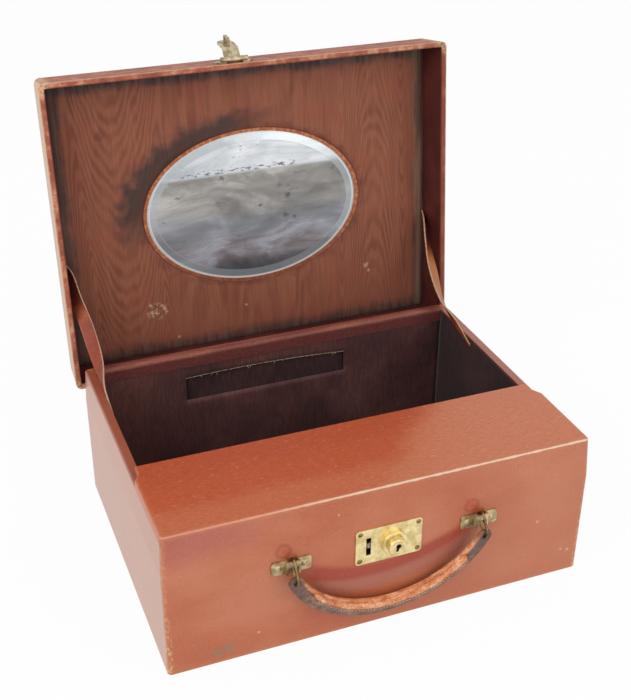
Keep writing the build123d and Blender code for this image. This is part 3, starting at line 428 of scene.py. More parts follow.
def front_colour(g, colour, broad):
    """The front with its deck, the arcs where the handle swings, and its stains and knocks."""
    warm = g.step(g.add(g.x, g.times(g.less(broad, 0.5), 160.0)), -60.0, 130.0)
    colour = g.over(colour, paint(198, 126, 96), warm, 0.35)
    deck = g.step(g.z, DECK_Z - 1.2, DECK_Z - 0.6)
    colour = g.mix(deck, colour, deck_colour(g, broad))
    front = g.step(g.y, 3.0 - HALF_DEPTH, 1.0 - HALF_DEPTH)
    reach = g.times(g.near(g.x, 2.0, 66.0, 50.0), front)
    rubbed = g.size(g.add(from_arc(g, *RUBBED_ARC), g.times(g.less(broad, 0.5), 6.0)))
    colour = g.over(colour, paint(158, 44, 14), g.step(rubbed, 9.0, 3.0), reach, 0.9)
    dull = g.size(from_arc(g, *DULL_ARC))
    colour = g.over(colour, paint(166, 100, 84), g.step(dull, 8.0, 3.5), reach, 0.7)
    for x, z in BRACKET_RINGS:
        colour = g.over(colour, paint(176, 66, 38), spot(g, x, z, 6.4), front, 0.45)
        ring = g.step(g.size(from_arc(g, x, z, 4.6)), 2.2, 0.0)
        colour = g.over(colour, paint(158, 56, 36), ring, front, 0.6)
    left_top = g.times(g.step(g.x, -60.0, -120.0), g.step(g.z, 78.0, 98.0), front)
    colour = g.over(colour, paint(176, 92, 78), left_top, 0.8)
    stain = g.larger(*[spot(g, *place) for place in GREEN_STAIN])
    colour = g.over(colour, paint(134, 118, 90), stain, front, 0.7)
    return spotted(g, colour, paint(226, 184, 150), FRONT_CHIPS, front, 0.7)


def worn_surface(g, colour, scuffs):
    """Pale scuffs, dark patches, and a paler nicked foot."""
    colour = g.over(colour, paint(222, 176, 142), scuffs, 0.55)
    dark = g.step(g.noise(9.0, detail=6, rough=0.7, shift=31.0), 0.645, 0.70)
    colour = g.over(colour, paint(140, 62, 44), dark, 0.35)
    foot = g.step(g.add(g.z, g.times(g.noise(16, detail=5), 14.0)), 16.0, 6.0)
    colour = g.over(colour, paint(192, 116, 74), foot, 0.3)
    nicks = g.noise(1.7, (0.8, 0.8, 1.8), detail=5, rough=0.7, shift=51.0)
    return g.over(colour, paint(228, 184, 140), g.step(nicks, 0.61, 0.67), foot, 0.55)


def rubbed_edges(g, colour):
    """Leather rubbed bare along its edges, most along the deck's front and at the front feet."""
    behind_deck = g.step(g.y, DECK_REAR - 3, DECK_REAR + 3)
    top_z = g.less(DECK_Z, g.times(behind_deck, DECK_Z - RIM_Z))
    edge = edge_distance(g, HALF_WIDTH, HALF_DEPTH, 0.0, top_z, BEND_Z)
    colour = g.over(colour, paint(204, 134, 98), g.step(edge, 4.0, 0.5), 0.28)
    deck_front = g.times(g.step(g.z, DECK_Z - 3.0, DECK_Z - 2.0),
                         g.step(g.y, 4.7 - HALF_DEPTH, 3.3 - HALF_DEPTH))
    bare = g.times(worn_edge(g, edge, 0.62, 7.0), g.add(0.5, g.times(deck_front, 0.4)))
    line = g.step(g.add(edge, g.times(g.noise(5.0, detail=4), 1.2)), 1.9, 1.2)
    bare = g.larger(bare, g.times(deck_front, line, 0.85))
    cream = g.mix(g.step(g.x, -120.0, 0.0), paint(222, 148, 116), paint(242, 216, 188))
    colour = g.mix(bare, colour, cream)
    to_corner = g.length(g.less(g.size(g.x), HALF_WIDTH), g.add(g.y, HALF_DEPTH))
    ragged = g.step(g.noise(1.5, (1, 1, 2.4), detail=5), 0.52, 0.60)
    low = g.add(0.25, g.times(g.step(g.z, 60.0, 2.0), 0.75))
    return g.over(colour, paint(226, 184, 130), g.step(to_corner, 5.0, 1.5), ragged, low)


@once
def case_leather(look):
    """Glazed tan leather for the "front" with its deck, a "side", or the "back"."""
    g = Graph(f"case_leather_{look}")
    is_side = look == "side"
    normal, grain = leather_bump(g, 1 if is_side else 0)
    broad = g.noise(46, (1.5, 1.5, 1.0), detail=4, rough=0.55)
    colour = g.ramp(broad, (0.32, paint(178, 88, 52)), (0.5, paint(187, 100, 62)),
                    (0.68, paint(196, 116, 82)))
    if is_side:
        # The sides are drawn toward pale grey: a painted sheen of reflected light.
        colour = g.mix(0.3, colour, paint(168, 142, 106))
    if look == "front":
        colour = front_colour(g, colour, broad)
    scuffs = g.step(g.noise(5.5, (2.2, 2.2, 0.5), detail=6, rough=0.75, shift=11.0), 0.665, 0.70)
    colour = rubbed_edges(g, worn_surface(g, colour, scuffs))
    if is_side:
        rim_top = g.step(g.z, RIM_Z - 2.6, RIM_Z - 1.6)
        colour = g.over(colour, paint(146, 58, 34), rim_top, 0.75)
    colour = grained(g, colour, grain, 0.10, paint(110, 50, 34), paint(226, 160, 130))
    roughness = g.add(0.33, g.times(broad, 0.16), g.times(scuffs, 0.2))
    return g.finish(colour, roughness, normal, Specular_IOR_Level=0.45,
                    Coat_Weight=0.6 if is_side else 0.12, Coat_Roughness=0.28)


# --- The lid's leather and the smaller leather pieces ---------------------------------------------
def lid_wall_colour(g, broad, mottled):
    """Redder, darker walls, partly wear and partly painted shade; the front one mottled and the
    left one lightened by a painted sheen.
    """
    # The walls' darker ramp is partly wear and partly painted shade.
    colour = g.ramp(broad, (0.32, paint(132, 58, 40)), (0.5, paint(146, 68, 48)),
                    (0.68, paint(168, 90, 68)))
    front = g.step(g.y, 3.0 - LID_HALF_DEPTH, 2.0 - LID_HALF_DEPTH)
    colour = g.over(colour, paint(204, 136, 112), front, g.step(mottled, 0.42, 0.60), 0.6)
    # The left wall is lightened by a painted sheen of reflected light.
    left = g.step(g.x, 3.2 - LID_HALF_WIDTH, 2.2 - LID_HALF_WIDTH)
    return g.over(colour, paint(232, 212, 190), left, 0.75)


def lid_rim_colour(g, mottled):
    """The mottled rim, darker at its right, with painted shade along its inner edge."""
    colour = g.ramp(mottled, (0.38, paint(146, 74, 56)), (0.52, paint(176, 102, 78)),
                    (0.66, paint(212, 154, 120)))
    right = g.step(g.x, LID_HALF_WIDTH - 9.0, LID_HALF_WIDTH - 5.0)
    colour = g.over(colour, paint(116, 56, 46), right, 0.8)
    inwards = g.smaller(g.less(LID_HALF_WIDTH, g.size(g.x)), g.less(LID_HALF_DEPTH, g.size(g.y)))
    # Painted shade along the rim's inner edge, where it drops into the lid.
    return g.over(colour, paint(92, 36, 30), g.step(inwards, 2.8, 4.0), 0.85)


@once
def lid_leather():
    """The same leather on the lid, with pale wear round its edges and corners."""
    g = Graph("lid_leather", on_lid=True)
    normal, grain = leather_bump(g, 0)
    broad = g.noise(50, detail=4, rough=0.55, shift=7.0)
    mottled = g.noise(4.0, (2.5, 2.5, 1.0), detail=5, rough=0.65)
    colour = g.ramp(broad, (0.32, paint(170, 82, 52)), (0.5, paint(180, 93, 60)),
                    (0.68, paint(190, 108, 76)))
    wall = g.step(g.z, LID_TOP_Z - 1.0, LID_TOP_Z - 4.0)
    colour = g.mix(wall, colour, lid_wall_colour(g, broad, mottled))
    rim = g.step(g.z, LID_RIM_Z + 0.6, LID_RIM_Z + 0.2)
    colour = g.mix(rim, colour, lid_rim_colour(g, mottled))
    edge = edge_distance(g, LID_HALF_WIDTH, LID_HALF_DEPTH, LID_RIM_Z, LID_TOP_Z, LID_RIM_Z)
    colour = g.over(colour, paint(224, 184, 150), worn_edge(g, edge, 0.7, 6.0), 0.6)
    to_corner = g.length(g.less(g.size(g.x), LID_HALF_WIDTH), g.less(g.size(g.y), LID_HALF_DEPTH))
    corner = g.step(g.add(to_corner, g.times(g.noise(3.0, detail=4), 8.0)), 16.0, 9.0)
    ragged = g.step(g.noise(1.8, detail=5, rough=0.65, shift=9.0), 0.46, 0.56)
    colour = g.over(colour, paint(226, 188, 148), corner, g.add(0.2, g.times(ragged, 0.7)))
    scuffs = g.step(g.noise(6.0, (2.0, 2.0, 0.6), detail=6, rough=0.75, shift=5.0), 0.66, 0.70)
    colour = g.over(colour, paint(224, 182, 150), scuffs, 0.5)
    colour = grained(g, colour, grain, 0.10, paint(110, 50, 34), paint(226, 160, 130))
    return g.finish(colour, g.add(0.45, g.times(broad, 0.16)), normal, Specular_IOR_Level=0.2)


@once
def roll_leather():
    """The padded roll over the back rim, mauve, with a painted highlight along its top."""
    g = Graph("roll_leather")
    normal, grain = leather_bump(g, 0, 0.8)
    streak = g.noise(5.0, (9.0, 1.0, 1.0), detail=5, rough=0.6)
    colour = g.ramp(streak, (0.35, paint(112, 50, 42)), (0.5, paint(130, 64, 52)),
                    (0.66, paint(162, 94, 76)))
    # A painted highlight along the roll's top.
    top_highlight = g.times(g.near(g.y, 106.0, 1.8, 0.4), g.step(g.z, 108.0, 109.5))
    colour = g.over(colour, paint(206, 150, 128), top_highlight, 0.6)
    turned_in = g.times(g.step(g.z, 103.6, 102.6), g.step(g.y, 103.0, 101.6))
    colour = g.mix(turned_in, colour, paint(98, 42, 44))
    colour = grained(g, colour, grain, 0.12, paint(90, 40, 34), paint(214, 160, 140))
    return g.finish(colour, 0.4, normal, Specular_IOR_Level=0.35)


@once
def band_leather():
    """Dark red glazed leather inside the lid's walls, rubbed near the rim."""
    g = Graph("band_leather", on_lid=True)
    normal, grain = leather_bump(g, 0, 0.8)
    broad = g.noise(24, detail=4)
    colour = g.ramp(broad, (0.35, paint(70, 26, 27)), (0.5, paint(82, 32, 31)),
                    (0.65, paint(98, 42, 38)))
    height = g.add(g.z, g.times(g.noise(6.0, detail=5), 4.0))
    near_rim = g.step(height, LID_RIM_Z + 4.2, LID_RIM_Z + 1.6)
    colour = g.over(colour, paint(176, 88, 66), near_rim, 0.7)
    colour = grained(g, colour, grain, 0.12, paint(44, 18, 18), paint(130, 70, 60))
    return g.finish(colour, 0.4, normal, Specular_IOR_Level=0.5)


@once
def strap_leather():
    """Orange-brown stay leather, creased across, with painted light on the right stay and painted
    shade at the top.
    """
    g = Graph("strap_leather")
    crease = g.noise(3.2, (1.0, 0.5, 0.5), detail=5, rough=0.6)
    broad = g.noise(20, detail=3)
    colour = g.ramp(broad, (0.35, paint(128, 50, 26)), (0.52, paint(146, 62, 34)),
                    (0.68, paint(168, 84, 50)))
    colour = g.over(colour, paint(104, 42, 24), g.step(crease, 0.5, 0.68), 0.4)
    # Painted light across the middle of the right stay.
    lit = g.times(g.step(g.x, 100.0, 130.0), g.near(g.z, 130.0, 20.0, 8.0))
    colour = g.over(colour, paint(188, 124, 70), lit, 0.7)
    # Painted shade over the tops of the stays.
    colour = g.over(colour, paint(92, 42, 36), g.step(g.z, 138.0, 156.0), 0.75)
    return g.finish(colour, 0.5, g.bump(crease, 0.12), Specular_IOR_Level=0.4)


@once
def strap_edge():
    """The pale cut edge of the stays."""
    g = Graph("strap_edge")
    fibre = g.noise(0.9, (0.6, 2.0, 2.0), detail=5, rough=0.7)
    colour = g.ramp(fibre, (0.35, paint(168, 122, 92)), (0.52, paint(204, 164, 134)),
                    (0.68, paint(226, 196, 168)))
    return g.finish(colour, 0.75, g.bump(fibre, 0.08), Specular_IOR_Level=0.25)


@once
def bead_leather():
    """The thin turned bead round the glass, orange above and darker below."""
    g = Graph("bead_leather", on_lid=True)
    mottle = g.noise(3.0, detail=5, rough=0.6)
    colour = g.ramp(mottle, (0.36, paint(150, 74, 40)), (0.52, paint(176, 98, 58)),
                    (0.68, paint(206, 138, 90)))
    colour = g.over(colour, paint(112, 54, 38), g.step(g.y, 5.0, 62.0), 0.6)
    return g.finish(colour, 0.42, g.bump(mottle, 0.08), Specular_IOR_Level=0.45)


@once
def handle_leather():
    """The grip's orange rounded roll above its grey-brown stitched flange."""
    g = Graph("handle_leather")
    above = g.add(g.z, -HANDLE_ORIGIN[2])
    behind = g.add(g.y, -HANDLE_ORIGIN[1])
    rise = g.less(g.times(above, math.cos(HANDLE_TILT)), g.times(behind, math.sin(HANDLE_TILT)))
    radius = g.length(g.x, g.less(rise, HANDLE_CENTRE))
    wear = g.noise(4.0, (2.2, 1.0, 1.0), detail=5, rough=0.65)
    roll = g.ramp(wear, (0.34, paint(192, 106, 62)), (0.5, paint(228, 146, 96)),
                  (0.66, paint(246, 196, 156)))
    flange = g.ramp(wear, (0.34, paint(104, 76, 64)), (0.5, paint(136, 104, 88)),
                    (0.68, paint(172, 138, 116)))
    below = g.step(radius, HANDLE_SEAM - 0.5, HANDLE_SEAM + 0.5)
    colour = g.mix(below, roll, flange)
    colour = g.over(colour, paint(88, 50, 38), g.near(radius, HANDLE_SEAM, 1.0, 0.3), 0.5)
    colour = g.over(colour, paint(84, 54, 46), g.step(g.size(g.x), 56.0, 64.0), 0.7)
    cut = g.step(radius, HANDLE_RADIUS + 5.6, HANDLE_RADIUS + 6.6)
    colour = g.over(colour, paint(104, 84, 76), cut, 0.6)
    cracks = g.step(g.cells(2.4, (0.8, 1, 1), "DISTANCE_TO_EDGE"), 0.06, 0.0)
    colour = g.over(colour, paint(76, 40, 28), cracks, 0.4)
    normal = g.bump(wear, 0.16, g.bump(g.times(cracks, -1.0), 0.12))
    return g.finish(colour, g.add(0.34, g.times(below, 0.2)), normal, Specular_IOR_Level=0.5)


# --- Silk, card and cloth -------------------------------------------------------------------------
def silk_loops(g):
    """The lid silk's watering: wandering upright lines that bend into loops at both sides."""
    wander = g.noise(30, (0.7, 3.6, 1.0), detail=3, rough=0.5, bend=0.2)
    left_x, right_x = g.less(g.x, LOOPS_X[0]), g.less(g.x, LOOPS_X[1])
    left = g.add(g.y, g.times(left_x, left_x, 0.11))
    right = g.less(g.y, g.times(right_x, right_x, 0.25))
    field = g.add(
        g.times(wander, 5.0),
        g.times(g.step(g.size(left_x), 40.0, 24.0), left, 0.080),
        g.times(g.step(g.size(right_x), 40.0, 22.0), right, 0.060),
        g.times(g.x, 0.035),
    )
    return g.step(g.wave(field, 1 / 0.95), -0.9, 1.0)


def grey_borders(g, colour, streak):
    """Grey-brown borders that creep in unevenly from the lid silk's edges, palest at the right."""
    uneven = g.times(g.noise(13, detail=5, rough=0.6, shift=3.0), 16.0)
    half_x, half_y = LID_FACE_HALF
    left = g.less(g.add(g.x, half_x), uneven)
    right = g.less(g.less(half_x, g.x), uneven)
    top = g.less(g.add(g.y, half_y), g.times(uneven, 0.8))
    bottom = g.less(g.less(half_y, g.y), g.times(uneven, 0.7))
    streaky = g.step(streak, 0.4, 0.6)
    grey = g.mix(streaky, paint(56, 42, 44), paint(84, 68, 60))
    colour = g.over(colour, grey, g.step(left, 5.0, -3.0), 0.78)
    colour = g.over(colour, grey, g.step(top, 6.5, -2.0), 0.92)
    colour = g.over(colour, grey, g.step(bottom, 7.0, -3.0), 0.75)
    pale = g.mix(streaky, paint(84, 66, 58), paint(132, 108, 90))
    return g.over(colour, pale, g.step(right, 3.0, -3.0), 0.8)


def shaded_round_glass(g, colour):
    """A dark bloom at the mirror's upper left, and a narrow one all round it."""
    u, v = across_glass(g)
    ragged = g.times(g.less(g.noise(11, detail=5, shift=2.0), 0.5), 0.34)
    ring = g.add(g.length(u, v), ragged)
    upper_left = g.step(g.add(g.times(u, -0.74), g.times(v, -0.67)), 0.45, 0.95)
    colour = g.over(colour, paint(62, 48, 45), g.step(ring, 1.36, 1.12), upper_left, 0.92)
    return g.over(colour, paint(88, 46, 38), g.step(ring, 1.12, 1.0), 0.55)


def torn_silk(g, colour):
    """Pale pulled spots, one torn patch and one bruise."""
    colour = spotted(g, colour, paint(206, 176, 150), SILK_PULLS, 0.55)
    x, y = SILK_TEAR
    away = g.length(g.times(g.less(g.x, x), 0.7), g.less(g.y, y))
    ragged = g.step(g.noise(2.6, detail=5, rough=0.7, shift=61.0), 0.5, 0.6)
    colour = g.over(colour, paint(214, 190, 160), g.step(away, 9.0, 3.0), ragged, 0.7)
    return g.over(colour, paint(96, 50, 44), spot(g, *SILK_BRUISE), 0.5)


@once
def lid_silk():
    """Watered silk: ribs across, wood-like loops up the lid, and dark grey borders."""
    g = Graph("lid_silk", on_lid=True)
    water = silk_loops(g)
    fine = g.noise(0.9, (0.8, 26.0, 1.0), detail=3, rough=0.6)
    streak = g.noise(4.5, (0.9, 14.0, 1.0), detail=4, rough=0.55, shift=4.0)
    strength = g.step(g.noise(34, detail=2, shift=21.0), 0.36, 0.6)
    lined = g.times(water, g.add(0.34, g.times(strength, 0.42)))
    colour = g.mix(lined, paint(148, 88, 64), paint(118, 64, 46))
    colour = g.over(colour, paint(162, 100, 74), g.step(streak, 0.42, 0.62), 0.34)
    colour = g.over(colour, paint(112, 62, 46), g.step(fine, 0.45, 0.62), 0.30)
    lower = g.step(g.add(g.y, g.times(g.noise(12, detail=4), 18.0)), 66.0, 106.0)
    colour = g.over(colour, paint(120, 66, 50), lower, 0.28)
    red = g.step(g.noise(28, detail=3, shift=13.0), 0.5, 0.66)
    colour = g.over(colour, paint(150, 74, 54), red, 0.3)
    colour = grey_borders(g, colour, streak)
    colour = torn_silk(g, shaded_round_glass(g, colour))
    ribs = g.wave(g.y, RIB_PITCH)
    normal = g.bump(g.add(g.times(ribs, 0.25), g.times(fine, 1.2), g.times(water, 0.5)), 0.05)
    return g.finish(colour, g.add(0.58, g.times(water, 0.08)), normal, Specular_IOR_Level=0.3,
                    Sheen_Weight=0.12, Sheen_Roughness=0.5)


@once
def well_silk(wall):
    """Plum silk for a wall of the well: its "back", a "side", the "floor" or the "pocket". The back
    is lighter, with painted light at its left; the others take a darker copy, which is painted
    shade on the right wall and inside the pocket.
    """
    g = Graph(f"well_silk_{wall}")
    turned = {"side": (g.y, g.z, g.x), "floor": (g.x, g.y, g.z)}
    across = turned.get(wall, (g.x, g.z, g.y))
    at = g.join(*across)
    water = g.noise(9.0, (0.8, 5.0, 1.0), detail=4, rough=0.55, bend=0.6, at=at)
    lines = g.step(g.math("SINE", g.times(water, 44.0)), -0.8, 1.0)
    fine = g.noise(0.8, (0.9, 18.0, 1.0), detail=3, rough=0.6, at=at)
    broad = g.noise(40, detail=3, shift=9.0)
    if wall == "back":
        colour = g.ramp(broad, (0.36, paint(70, 40, 40)), (0.5, paint(88, 50, 48)),
                        (0.66, paint(106, 66, 60)))
        # Painted light toward the left of the back wall.
        colour = g.over(colour, paint(124, 74, 68), g.step(g.x, -40.0, -135.0), 0.6)
    else:
        # A darker copy of the silk: painted shade on the right wall and inside the pocket.
        colour = g.ramp(broad, (0.36, paint(46, 26, 27)), (0.5, paint(54, 32, 33)),
                        (0.66, paint(68, 42, 41)))
    colour = g.over(colour, paint(44, 26, 29), lines, 0.35)
    colour = g.over(colour, paint(96, 64, 58), g.step(fine, 0.46, 0.62), 0.3)
    dust = g.step(g.noise(3.5, detail=6, rough=0.75, shift=17.0), 0.66, 0.72)
    colour = g.over(colour, paint(150, 120, 104), dust, 0.4)
    ribs = g.wave(across[0], RIB_PITCH)
    normal = g.bump(g.add(g.times(ribs, 0.2), g.times(fine, 1.2), g.times(lines, 0.5)), 0.05)
    return g.finish(colour, 0.62, normal, Specular_IOR_Level=0.3, Sheen_Weight=0.1,
                    Sheen_Roughness=0.5)


@once
def thread(red, green, blue):
    """Waxed sewing thread."""
    g = Graph(f"thread_{red}_{green}_{blue}")
    twist = g.noise(0.5, detail=2)
    shaded = paint(red * 0.72, green * 0.7, blue * 0.66)
    colour = g.mix(g.step(twist, 0.4, 0.62), paint(red, green, blue), shaded)
    return g.finish(colour, 0.7, g.bump(twist, 0.08), Specular_IOR_Level=0.3)


@once
def card_paper():
    """Brown pasteboard behind the mirror."""
    g = Graph("card_paper")
    fibre = g.noise(1.6, (3.0, 1.0, 1.0), detail=5, rough=0.65)
    colour = g.ramp(fibre, (0.35, paint(74, 48, 38)), (0.5, paint(92, 62, 48)),
                    (0.66, paint(120, 88, 68)))
    return g.finish(colour, 0.85, g.bump(fibre, 0.08), Specular_IOR_Level=0.2)


@once
def base_cloth():
    """Dark woven cloth glued under the box."""
    g = Graph("base_cloth")
    weave = g.times(g.wave(g.x, 1.1), g.wave(g.y, 1.1))
    wear = g.noise(18, detail=5, rough=0.6)
    colour = g.ramp(wear, (0.35, paint(58, 40, 36)), (0.52, paint(76, 52, 46)),
                    (0.68, paint(104, 78, 66)))
    colour = g.over(colour, paint(44, 30, 28), g.step(weave, -0.5, 0.8), 0.3)
    return g.finish(colour, 0.85, g.bump(weave, 0.12), Specular_IOR_Level=0.2, Sheen_Weight=0.15)


@once
def pine():
    """Plain softwood boards under the leather."""
    g = Graph("pine_board")
    rings = g.noise(9.0, (6.0, 1.0, 1.0), detail=3, bend=0.3)
    bands = g.math("SINE", g.times(rings, 60.0))
    colour = g.mix(g.step(bands, -0.6, 1.0), paint(196, 158, 108), paint(160, 116, 72))
    return g.finish(colour, 0.7, g.bump(bands, 0.04), Specular_IOR_Level=0.3)


# --- Glass and metal ------------------------------------------------------------------------------
def smoky_silver_and_painted_reflections(g, smoke):
    """The silvering in three levels of painted reflection, brightest at the top, with smoke through
    each, and where the lowest level lies.
    """
    middle = g.ramp(smoke, (0.36, paint(122, 120, 118)), (0.5, paint(154, 150, 145)),
                    (0.64, paint(196, 194, 190)))
    low = g.ramp(smoke, (0.36, paint(106, 108, 114)), (0.5, paint(130, 132, 138)),
                 (0.64, paint(172, 176, 186)))
    high = g.ramp(smoke, (0.36, paint(184, 188, 194)), (0.5, paint(210, 214, 218)),
                  (0.64, paint(236, 238, 240)))
    # The three levels are painted reflections: light high up, bluish low down.
    drift = g.less(smoke, 0.5)
    in_low = g.step(g.add(g.y, g.times(drift, 40.0)), -4.0, 16.0)
    in_high = g.step(g.add(g.y, g.times(drift, 6.0)), -25.5, -28.5)
    return g.mix(in_high, g.mix(in_low, middle, low), high), in_low


def foxing_and_painted_reflected_line(g, colour, specks):
    """A painted reflection of a dark speckled line across the glass, then the glass's smudges,
    specks and blots.
    """
    # The dark speckled line is a painted reflection.
    line = g.times(g.near(g.y, -29.5, 3.0, 0.6), g.near(g.x, -8.0, 52.0, 42.0))
    broken = g.noise(2.4, (1.8, 0.8, 1.0), detail=5, rough=0.7, shift=71.0)
    colour = g.over(colour, paint(66, 68, 74), line, g.step(broken, 0.5, 0.58), 0.8)
    colour = spotted(g, colour, paint(72, 72, 78), GLASS_SMUDGES, 0.7)
    colour = g.over(colour, paint(66, 70, 78), specks, 0.75)
    blots = g.noise(9.0, (1.6, 0.9, 1.0), detail=5, rough=0.65, shift=41.0)
    return g.over(colour, paint(84, 88, 94), g.step(blots, 0.62, 0.70), 0.6)


@once
def looking_glass():
    """Old silvering: a blue-grey mirror with smoky smudges, foxed at its bevel, under painted
    reflections and a painted highlight round its bevel.
    """
    g = Graph("looking_glass", on_lid=True)
    smoke = g.noise(26, (2.4, 0.9, 1.0), detail=5, rough=0.6, bend=0.5)
    specks = g.step(g.noise(3.4, (2.0, 1.0, 1.0), detail=6, rough=0.75, shift=8.0), 0.645, 0.71)
    colour, low = smoky_silver_and_painted_reflections(g, smoke)
    colour = foxing_and_painted_reflected_line(g, colour, specks)
    # A painted reflection lightens the bevel.
    bevel = g.step(g.length(*across_glass(g, MIRROR_BEVEL)), 0.985, 1.0)
    colour = g.over(colour, paint(176, 184, 188), bevel, 0.6)
    share = g.length(*across_glass(g))
    # A painted highlight rings the bevel.
    edge = g.step(share, 0.952, 0.965)
    colour = g.mix(edge, colour, paint(220, 224, 222))
    foxed = g.step(g.noise(4.0, detail=5, shift=2.0), 0.4, 0.6)
    colour = g.over(colour, paint(188, 176, 150), g.step(share, 0.965, 0.99), foxed, 0.5)
    roughness = g.add(0.10, g.times(specks, 0.3), g.times(g.step(smoke, 0.45, 0.7), 0.22))
    lost = g.add(g.times(edge, 0.3), g.times(bevel, 0.2), g.times(low, 0.28))
    return g.finish(colour, roughness, Metallic=g.less(0.8, lost))


@once
def brass(name, light, dark, roughness):
    """Old brass with brown tarnish in cloudy patches and pits, and fine rub marks."""
    g = Graph(name)
    cloud = g.noise(7.0, detail=5, rough=0.6)
    colour = g.mix(g.step(cloud, 0.36, 0.64), dark, light)
    pits = g.step(g.noise(0.9, detail=5, rough=0.7, shift=5.0), 0.62, 0.70)
    colour = g.over(colour, paint(96, 74, 44), pits, 0.5)
    rubs = g.noise(0.35, (12.0, 1.0, 1.0), detail=3)
    uneven = g.add(roughness, g.times(cloud, 0.14), g.times(pits, 0.2))
    return g.finish(colour, uneven, g.bump(g.add(rubs, pits), 0.012), Metallic=0.95)


@once
def plug_brass():
    """The key plug's brass, with its keyhole, a round eye over a slot, painted black as the shade
    inside the hole.
    """
    g = Graph("plug_brass")
    cloud = g.noise(5.0, detail=5, rough=0.6)
    colour = g.mix(g.step(cloud, 0.36, 0.64), paint(206, 182, 124), paint(240, 222, 168))
    cosine, sine = math.cos(KEYHOLE_TILT), math.sin(KEYHOLE_TILT)
    x, z = g.less(g.x, KEYHOLE_AT[0]), g.less(g.z, KEYHOLE_AT[1])
    across = g.add(g.times(x, cosine), g.times(z, sine))
    up = g.less(g.times(z, cosine), g.times(x, sine))
    eye = g.step(g.length(across, g.less(up, 1.0)), 2.1, 1.7)
    slot = g.times(g.step(g.size(across), 1.15, 0.8), g.near(up, -0.9, 2.3, 1.9))
    # The keyhole is painted black as the shade inside it.
    keyhole_shade = g.larger(eye, slot)
    colour = g.mix(keyhole_shade, colour, paint(34, 26, 20))
    return g.finish(colour, g.add(0.3, g.times(keyhole_shade, 0.4)),
                    Metallic=g.less(0.95, g.times(keyhole_shade, 0.8)))


@once
def lock_steel():
    """Blackened steel inside the lock."""
    g = Graph("lock_steel")
    cloud = g.noise(3.0, detail=5, rough=0.65)
    colour = g.ramp(cloud, (0.36, paint(92, 84, 74)), (0.52, paint(138, 130, 116)),
                    (0.68, paint(170, 162, 146)))
    return g.finish(colour, 0.42, g.bump(cloud, 0.03), Metallic=0.9)


def dress(material, *names):
    """Gives a material to the CAD pieces of these names."""
    for name in names:
        slots = NODES[name].material_slots
        if not slots:
            NODES[name].data.materials.append(material)
        for material_slot in slots:
            material_slot.material = material


# --- Meshes ---------------------------------------------------------------------------------------
def piece(name, points, faces, material, to=None, smooth=True):
    """A new object from points in millimetres."""
    mesh = bpy.data.meshes.new(name)
    placed = [Vector(point) * MM for point in points]
    if to is not None:
        placed = [to @ point for point in placed]
    mesh.from_pydata(placed, [], faces)
    mesh.update()
    obj = bpy.data.objects.new(name, mesh)
    bpy.context.scene.collection.objects.link(obj)
    mesh.materials.append(material)
    for polygon in mesh.polygons:
        polygon.use_smooth = smooth
    return obj


def quads(rows, columns, wrap=False):
    """The faces of a grid of rows by columns points, closed across its columns if wrapped."""
    faces = []
    for row in range(rows - 1):
        for column in range(columns if wrap else columns - 1):
            right = (column + 1) % columns
            faces.append((row * columns + column, row * columns + right,
                          (row + 1) * columns + right, (row + 1) * columns + column))
    return faces


def thicken(obj, thickness):
    """Backs a sheet with its own thickness, away from its face."""
    solid = obj.modifiers.new("thickness", "SOLIDIFY")
    solid.thickness = thickness * MM
    solid.offset = -1.0
    solid.use_even_offset = True


def waves(seed):
    """A smooth uneven height between about -1 and 1, from a few long waves."""
    draw = random.Random(seed)
    slow, quick = 0.02, 0.09
    terms = [
        (draw.uniform(slow, quick), draw.uniform(slow, quick), draw.uniform(0, 6.28))
        for _ in range(5)
    ]
    return lambda u, v: sum(math.sin(a * u + b * v + c) for a, b, c in terms) / len(terms)


def ripple_share(u, v, height):
    """The part of a ripple's depth that stands at one place of a lining."""
    return 0.6 + 0.4 * height(u, v)


def flat_lining(name, node, u_ends, v_ends, place, material, seed, ripple):
    """A silk sheet glued over one board of the well, a little uneven, and its flat size."""
    columns, rows = 41, 25
    flat_border = 12  # the silk comes down to its board over the outer twelfth
    height = waves(seed)
    points = []
    for row in range(rows):
        for column in range(columns):
            s, t = column / (columns - 1), row / (rows - 1)
            u = u_ends[0] + (u_ends[1] - u_ends[0]) * s
            v = v_ends[0] + (v_ends[1] - v_ends[0]) * t
            rim = min(1.0, min(s, t, 1 - s, 1 - t) * flat_border)
            points.append(place(u, v, ripple * rim * ripple_share(u, v, height)))
    sheet = piece(name, points, quads(rows, columns), material)
    thicken(sheet, SILK_THICK)
    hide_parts(node)
    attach(sheet, "case")
    size = ((u_ends[1] - u_ends[0]) * MM, (v_ends[1] - v_ends[0]) * MM)
    return sheet, size


def pocket_top(x):
    """Height of the pocket mouth's worn upper edge."""
    x = min(max(x, POCKET_LEFT), POCKET_RIGHT)
    (x0, z0), (x1, z1), (x2, z2) = POCKET_TOP
    first = (x - x1) * (x - x2) / ((x0 - x1) * (x0 - x2))
    second = (x - x0) * (x - x2) / ((x1 - x0) * (x1 - x2))
    third = (x - x0) * (x - x1) / ((x2 - x0) * (x2 - x1))
    return z0 * first + z1 * second + z2 * third


